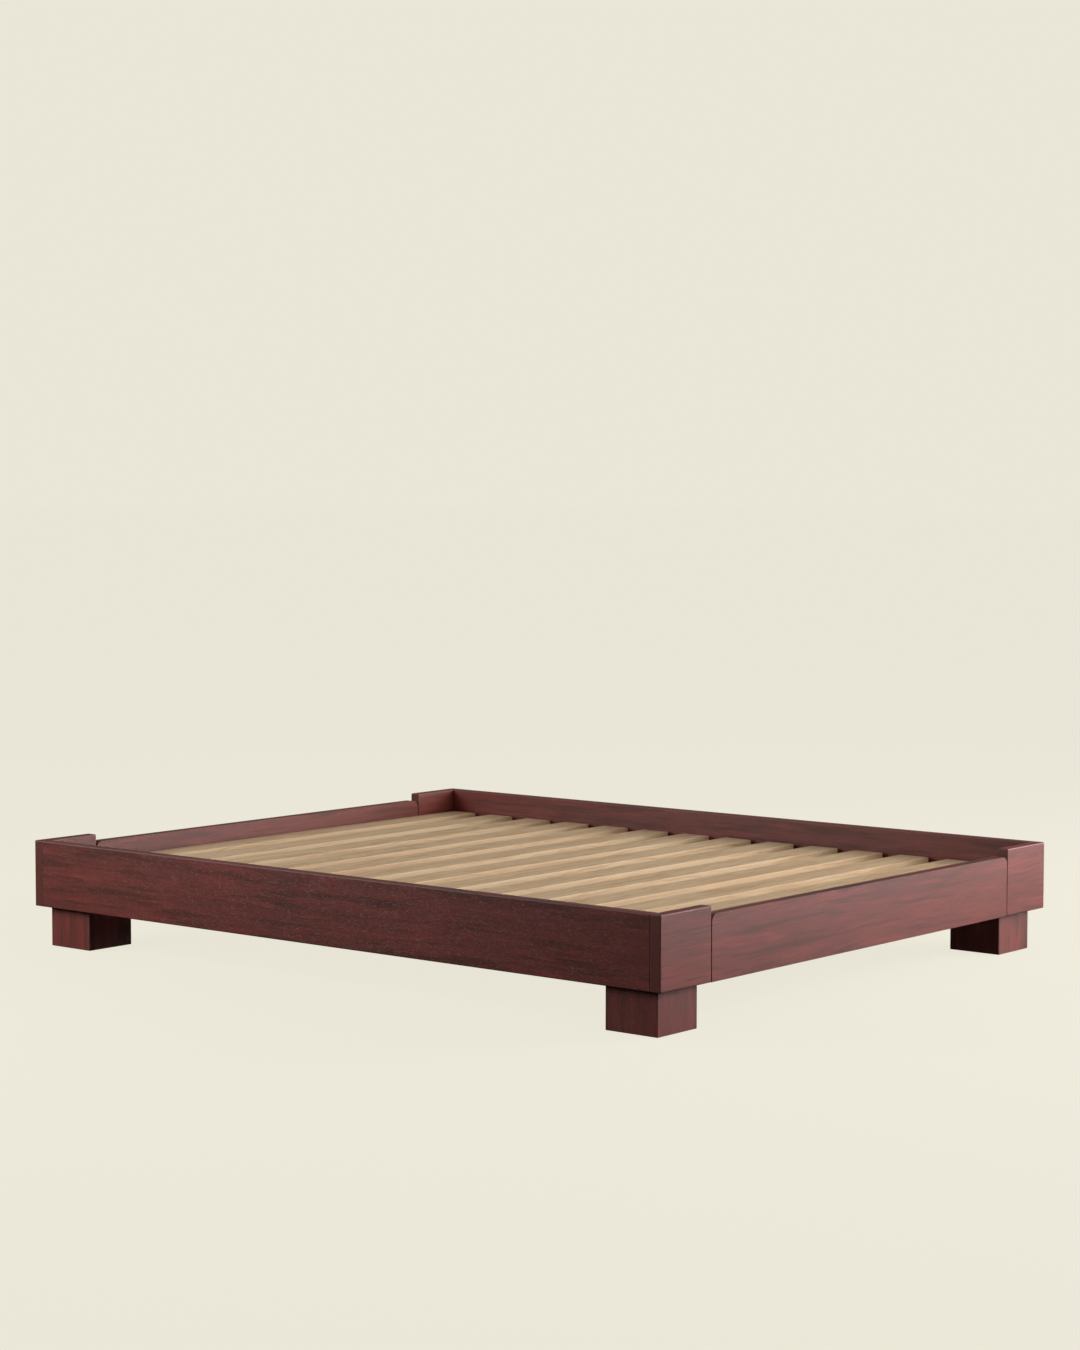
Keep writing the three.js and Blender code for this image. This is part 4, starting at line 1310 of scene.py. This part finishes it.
# %% Threaded insert and levelling glide
insert_low, insert_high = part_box("threaded_insert")
INSERT_FLANGE = (insert_high.x - insert_low.x) / 2
INSERT_SLEEVE = 6.9 * MM
flange_top = insert_low.z + 1.5 * MM
insert = turned(
    "threaded_insert_finished",
    [
        (INSERT_FLANGE - 0.4 * MM, insert_low.z),
        (INSERT_FLANGE, insert_low.z + 0.4 * MM),
        (INSERT_FLANGE, flange_top),
        (INSERT_SLEEVE, flange_top),
        (INSERT_SLEEVE, insert_high.z - 0.5 * MM),
        (INSERT_SLEEVE - 0.5 * MM, insert_high.z),
    ],
    sides=40,
)
bore(insert, Vector((0, 0, insert_low.z - MM)), Vector((0, 0, insert_high.z + MM)), 5.15 * MM, sides=40)
smooth_round(insert)
stand_in(insert, "threaded_insert", "frame", STEEL)

glide_low, glide_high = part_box("levelling_glide")
GLIDE_RADIUS = (glide_high.x - glide_low.x) / 2
GLIDE_FOOT = 8 * MM
STEM_CREST = 5 * MM
STEM_CORE = 4.2 * MM
foot_profile = [
    (GLIDE_RADIUS - 3 * MM, 0),
    (GLIDE_RADIUS - 1.2 * MM, 0.3 * MM),
    (GLIDE_RADIUS - 0.3 * MM, 1.2 * MM),
    (GLIDE_RADIUS, 2.2 * MM),
    (GLIDE_RADIUS, 4.6 * MM),
    (GLIDE_RADIUS - 0.6 * MM, 5.4 * MM),
    (GLIDE_RADIUS - 5 * MM, 6.9 * MM),
    (GLIDE_RADIUS - 10 * MM, 7.6 * MM),
    (STEM_CORE + 4 * MM, GLIDE_FOOT),
    (STEM_CORE, GLIDE_FOOT),
    (STEM_CORE, glide_high.z - 0.8 * MM),
    (STEM_CORE - 0.8 * MM, glide_high.z),
]
glide = turned("levelling_glide_finished", foot_profile, sides=48)
add_thread(glide, STEM_CREST, STEM_CORE, 2 * MM, GLIDE_FOOT + 0.5 * MM, glide_high.z - 0.5 * MM)
smooth_round(glide)
stand_in(glide, "levelling_glide", "glide", PLASTIC)
print("glide:", round(GLIDE_RADIUS * 2000), "mm foot,", len(glide.data.polygons), "faces")

# %% [markdown]
# ## The slat roll
#
# Fourteen planed slats lie loose across the ledgers. Each is made the same way, with its own number for
# the wood's pattern, so that no two look alike. Two woven tapes under them keep their spacing, held by two
# wire staples at each slat. A tape hangs a little between the slats, so it is divided along its length and
# its free spans are let down in an arc.

# %% Slats
SLAT_ARRIS = 2.2 * MM
SLAT_END_SHARE = 0.5
FIRST_SLAT_CUT = 30.7
SLAT_CUT_STEP = 1.37
slat_names = sorted(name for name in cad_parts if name.startswith("slat_") and name[-2:].isdigit())
for k, node in enumerate(slat_names):
    low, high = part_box(node)
    piece = add_block(f"{node}_finished", low, high)
    ease_timber(piece, SLAT_ARRIS, "x", SLAT_END_SHARE)
    mark_wood(piece, low, high, FIRST_SLAT_CUT + SLAT_CUT_STEP * k)
    stand_in(piece, node, "slat_roll", PALE["x"])
print("slats:", len(slat_names))

# %% Tapes and staples
TAPE_SAG = 1.6 * MM
TAPE_STEPS = 240
STAPLE_WIRE = 0.45 * MM
STAPLE_SPAN = 10 * MM
STAPLE_LEG = 6 * MM
STAPLE_EDGE = 0.35 * MM
STAPLE_INSET = 18 * MM
TAPE_END_ROOM = 4 * MM


slat_boxes = [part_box(node) for node in slat_names]
free_spans = [(before[1].y, after[0].y) for before, after in zip(slat_boxes, slat_boxes[1:])]


def sag_at(y):
    """How far the tape hangs at a place along it: 0 under a slat, and an arc between two slats."""
    for left, right in free_spans:
        if left < y < right:
            share = (y - left) / (right - left)
            return TAPE_SAG * 4 * share * (1 - share)
    return 0.0


def slat_tape(side):
    node = f"slat_tape_{side}"
    low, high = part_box(node)
    piece = add_block(f"{node}_finished", low, high)
    only(piece)
    bpy.ops.object.mode_set(mode="EDIT")
    bpy.ops.mesh.select_mode(type="EDGE")
    bpy.ops.mesh.select_all(action="DESELECT")
    shell = bmesh.from_edit_mesh(piece.data)
    for edge in shell.edges:
        start, end = (vertex.co for vertex in edge.verts)
        edge.select = runs((end - start).normalized(), "y")
    bmesh.update_edit_mesh(piece.data)
    bpy.ops.mesh.subdivide(number_cuts=TAPE_STEPS)
    bpy.ops.object.mode_set(mode="OBJECT")
    for vertex in piece.data.vertices:
        vertex.co.z -= sag_at(vertex.co.y)
    return stand_in(piece, node, "slat_roll", TAPE)


def staple():
    """One wire staple: its crown on the tape's underside along X, its legs going up."""
    crown_low = Vector((-STAPLE_SPAN / 2, -STAPLE_WIRE, -2 * STAPLE_WIRE))
    piece = add_block("staple", crown_low, Vector((STAPLE_SPAN / 2, STAPLE_WIRE, 0)))
    for sign in SIDES.values():
        inner, outer = sorted((sign * (STAPLE_SPAN / 2 - 2 * STAPLE_WIRE), sign * STAPLE_SPAN / 2))
        leg_foot = Vector((inner, -STAPLE_WIRE, -STAPLE_WIRE))
        leg_top = Vector((outer, STAPLE_WIRE, STAPLE_LEG))
        combine(piece, add_block("staple_leg", leg_foot, leg_top), "UNION")
    ease_edges(piece, STAPLE_EDGE, lambda middle, along: 1.0, segments=1)
    return piece


one_staple = staple()
for side in SIDES:
    tape_low, tape_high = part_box(slat_tape(side).name.replace("_finished", ""))
    tape_x = (tape_low.x + tape_high.x) / 2
    staples = []
    for low, high in slat_boxes:
        for inset in (low.y + STAPLE_INSET, high.y - STAPLE_INSET):
            if tape_low.y + TAPE_END_ROOM < inset < tape_high.y - TAPE_END_ROOM:
                staples.append(copy_to(one_staple, "staple_copy", (0, 0, 0), (tape_x, inset, tape_low.z)))
    give_finish(joined(staples, f"slat_tape_{side}_staples"), "slat_roll", STEEL)
    print("staples in one tape:", len(staples))
bpy.data.objects.remove(one_staple)

# %% [markdown]
# ## The floor
#
# The floor is a plain pale sweep. It is lit like everything else, so the bed's soft shadow falls on it, but
# most of its brightness is its own, which keeps it even from edge to edge, as in a studio where the
# backdrop has lights of its own. It is hidden from reflected light, or the whole underside would glow.

# %% The floor
BACKDROP = (0.823, 0.791, 0.680)
FLOOR_SIZE = 160
FLOOR_GLOW = 0.972
FLOOR_DIFFUSE = 0.09
FLECKS_PER_METRE = 240
FLECK_TONE = 0.97


def studio_floor():
    """A plain pale plane that the shadows fall on."""
    deselect_all()
    bpy.ops.mesh.primitive_plane_add(size=FLOOR_SIZE, location=(0, 0, 0))
    floor = bpy.context.object
    floor.name = "studio_floor"
    material, start = new_material("studio_floor")
    flecks = noise(scaled(object_place(start), [FLECKS_PER_METRE] * 3), detail=2.0)
    tone = [channel * FLOOR_DIFFUSE for channel in BACKDROP]
    colour = mixed(flecks, tone, [FLECK_TONE * channel for channel in tone])
    glow = {"Emission_Color": (*BACKDROP, 1), "Emission_Strength": FLOOR_GLOW}
    finish_material(start, colour, 1.0, IOR=1.0, **glow)
    floor.data.materials.append(material)
    floor.visible_diffuse = False
    floor.visible_glossy = False


studio_floor()

# %% [markdown]
# ## The light
#
# Plain soft studio light: a large softbox to the right of the foot end, two weak ones that widen its light,
# another on the left by the head end, and a dim grey dome. The softboxes stand close enough that each long
# face is brighter at its far end than at the near corner. The dome is darker towards the floor, which keeps
# the space under the bed dark. The camera sees the backdrop's colour instead of the dome.

# %% The dome and the softboxes
DOME = 0.24
DOME_EDGE = (-0.05, 0.45)  # the heights where it starts and is full


def studio_dome():
    world = bpy.data.worlds.new("studio")
    world.use_nodes = True
    world.node_tree.nodes.clear()
    start = Value(world.node_tree)
    direction = start.node("ShaderNodeTexCoord", output="Generated")
    height = start.node("ShaderNodeSeparateXYZ", None, {"Vector": direction}, output=2)
    dome = DOME * height.between(*DOME_EDGE)
    seen = start.node("ShaderNodeLightPath", output="Is Camera Ray")
    strength = seen + (1 - seen) * dome
    colour = mixed(seen, (1.0, 1.0, 1.0), BACKDROP)
    light = start.node("ShaderNodeBackground", None, {"Color": colour, "Strength": strength})
    send_out(light, "ShaderNodeOutputWorld")
    bpy.context.scene.world = world


def softbox(name, place, target, size, power):
    """A rectangular light that faces its target."""
    data = bpy.data.lights.new(name, "AREA")
    data.shape = "RECTANGLE"
    data.size, data.size_y = size
    data.energy = power
    light = bpy.data.objects.new(name, data)
    bpy.context.scene.collection.objects.link(light)
    light.location = place
    light.rotation_mode = "QUATERNION"
    light.rotation_quaternion = (Vector(target) - Vector(place)).to_track_quat("-Z", "Y")


# Each softbox: its place, the place that it faces, its width and height, and its power in watts.
SOFTBOXES = {
    "softbox_right": ((3.6, -3.6, 1.3), (0.2, -0.9, 0.2), (2.4, 2.2), 272),
    "softbox_foot": ((1.5, -4.5, 2.2), (0.2, -0.9, 0.2), (2.4, 1.6), 75),
    "softbox_side": ((7.5, -5.0, 1.3), (0.4, -0.9, 0.2), (4.0, 2.4), 25),
    "softbox_left": ((-3.2, 2.6, 1.6), (-0.6, 0.4, 0.2), (2.0, 1.6), 94),
}
studio_dome()
for name, settings in SOFTBOXES.items():
    softbox(name, *settings)
bpy.context.scene.view_settings.view_transform = "Standard"
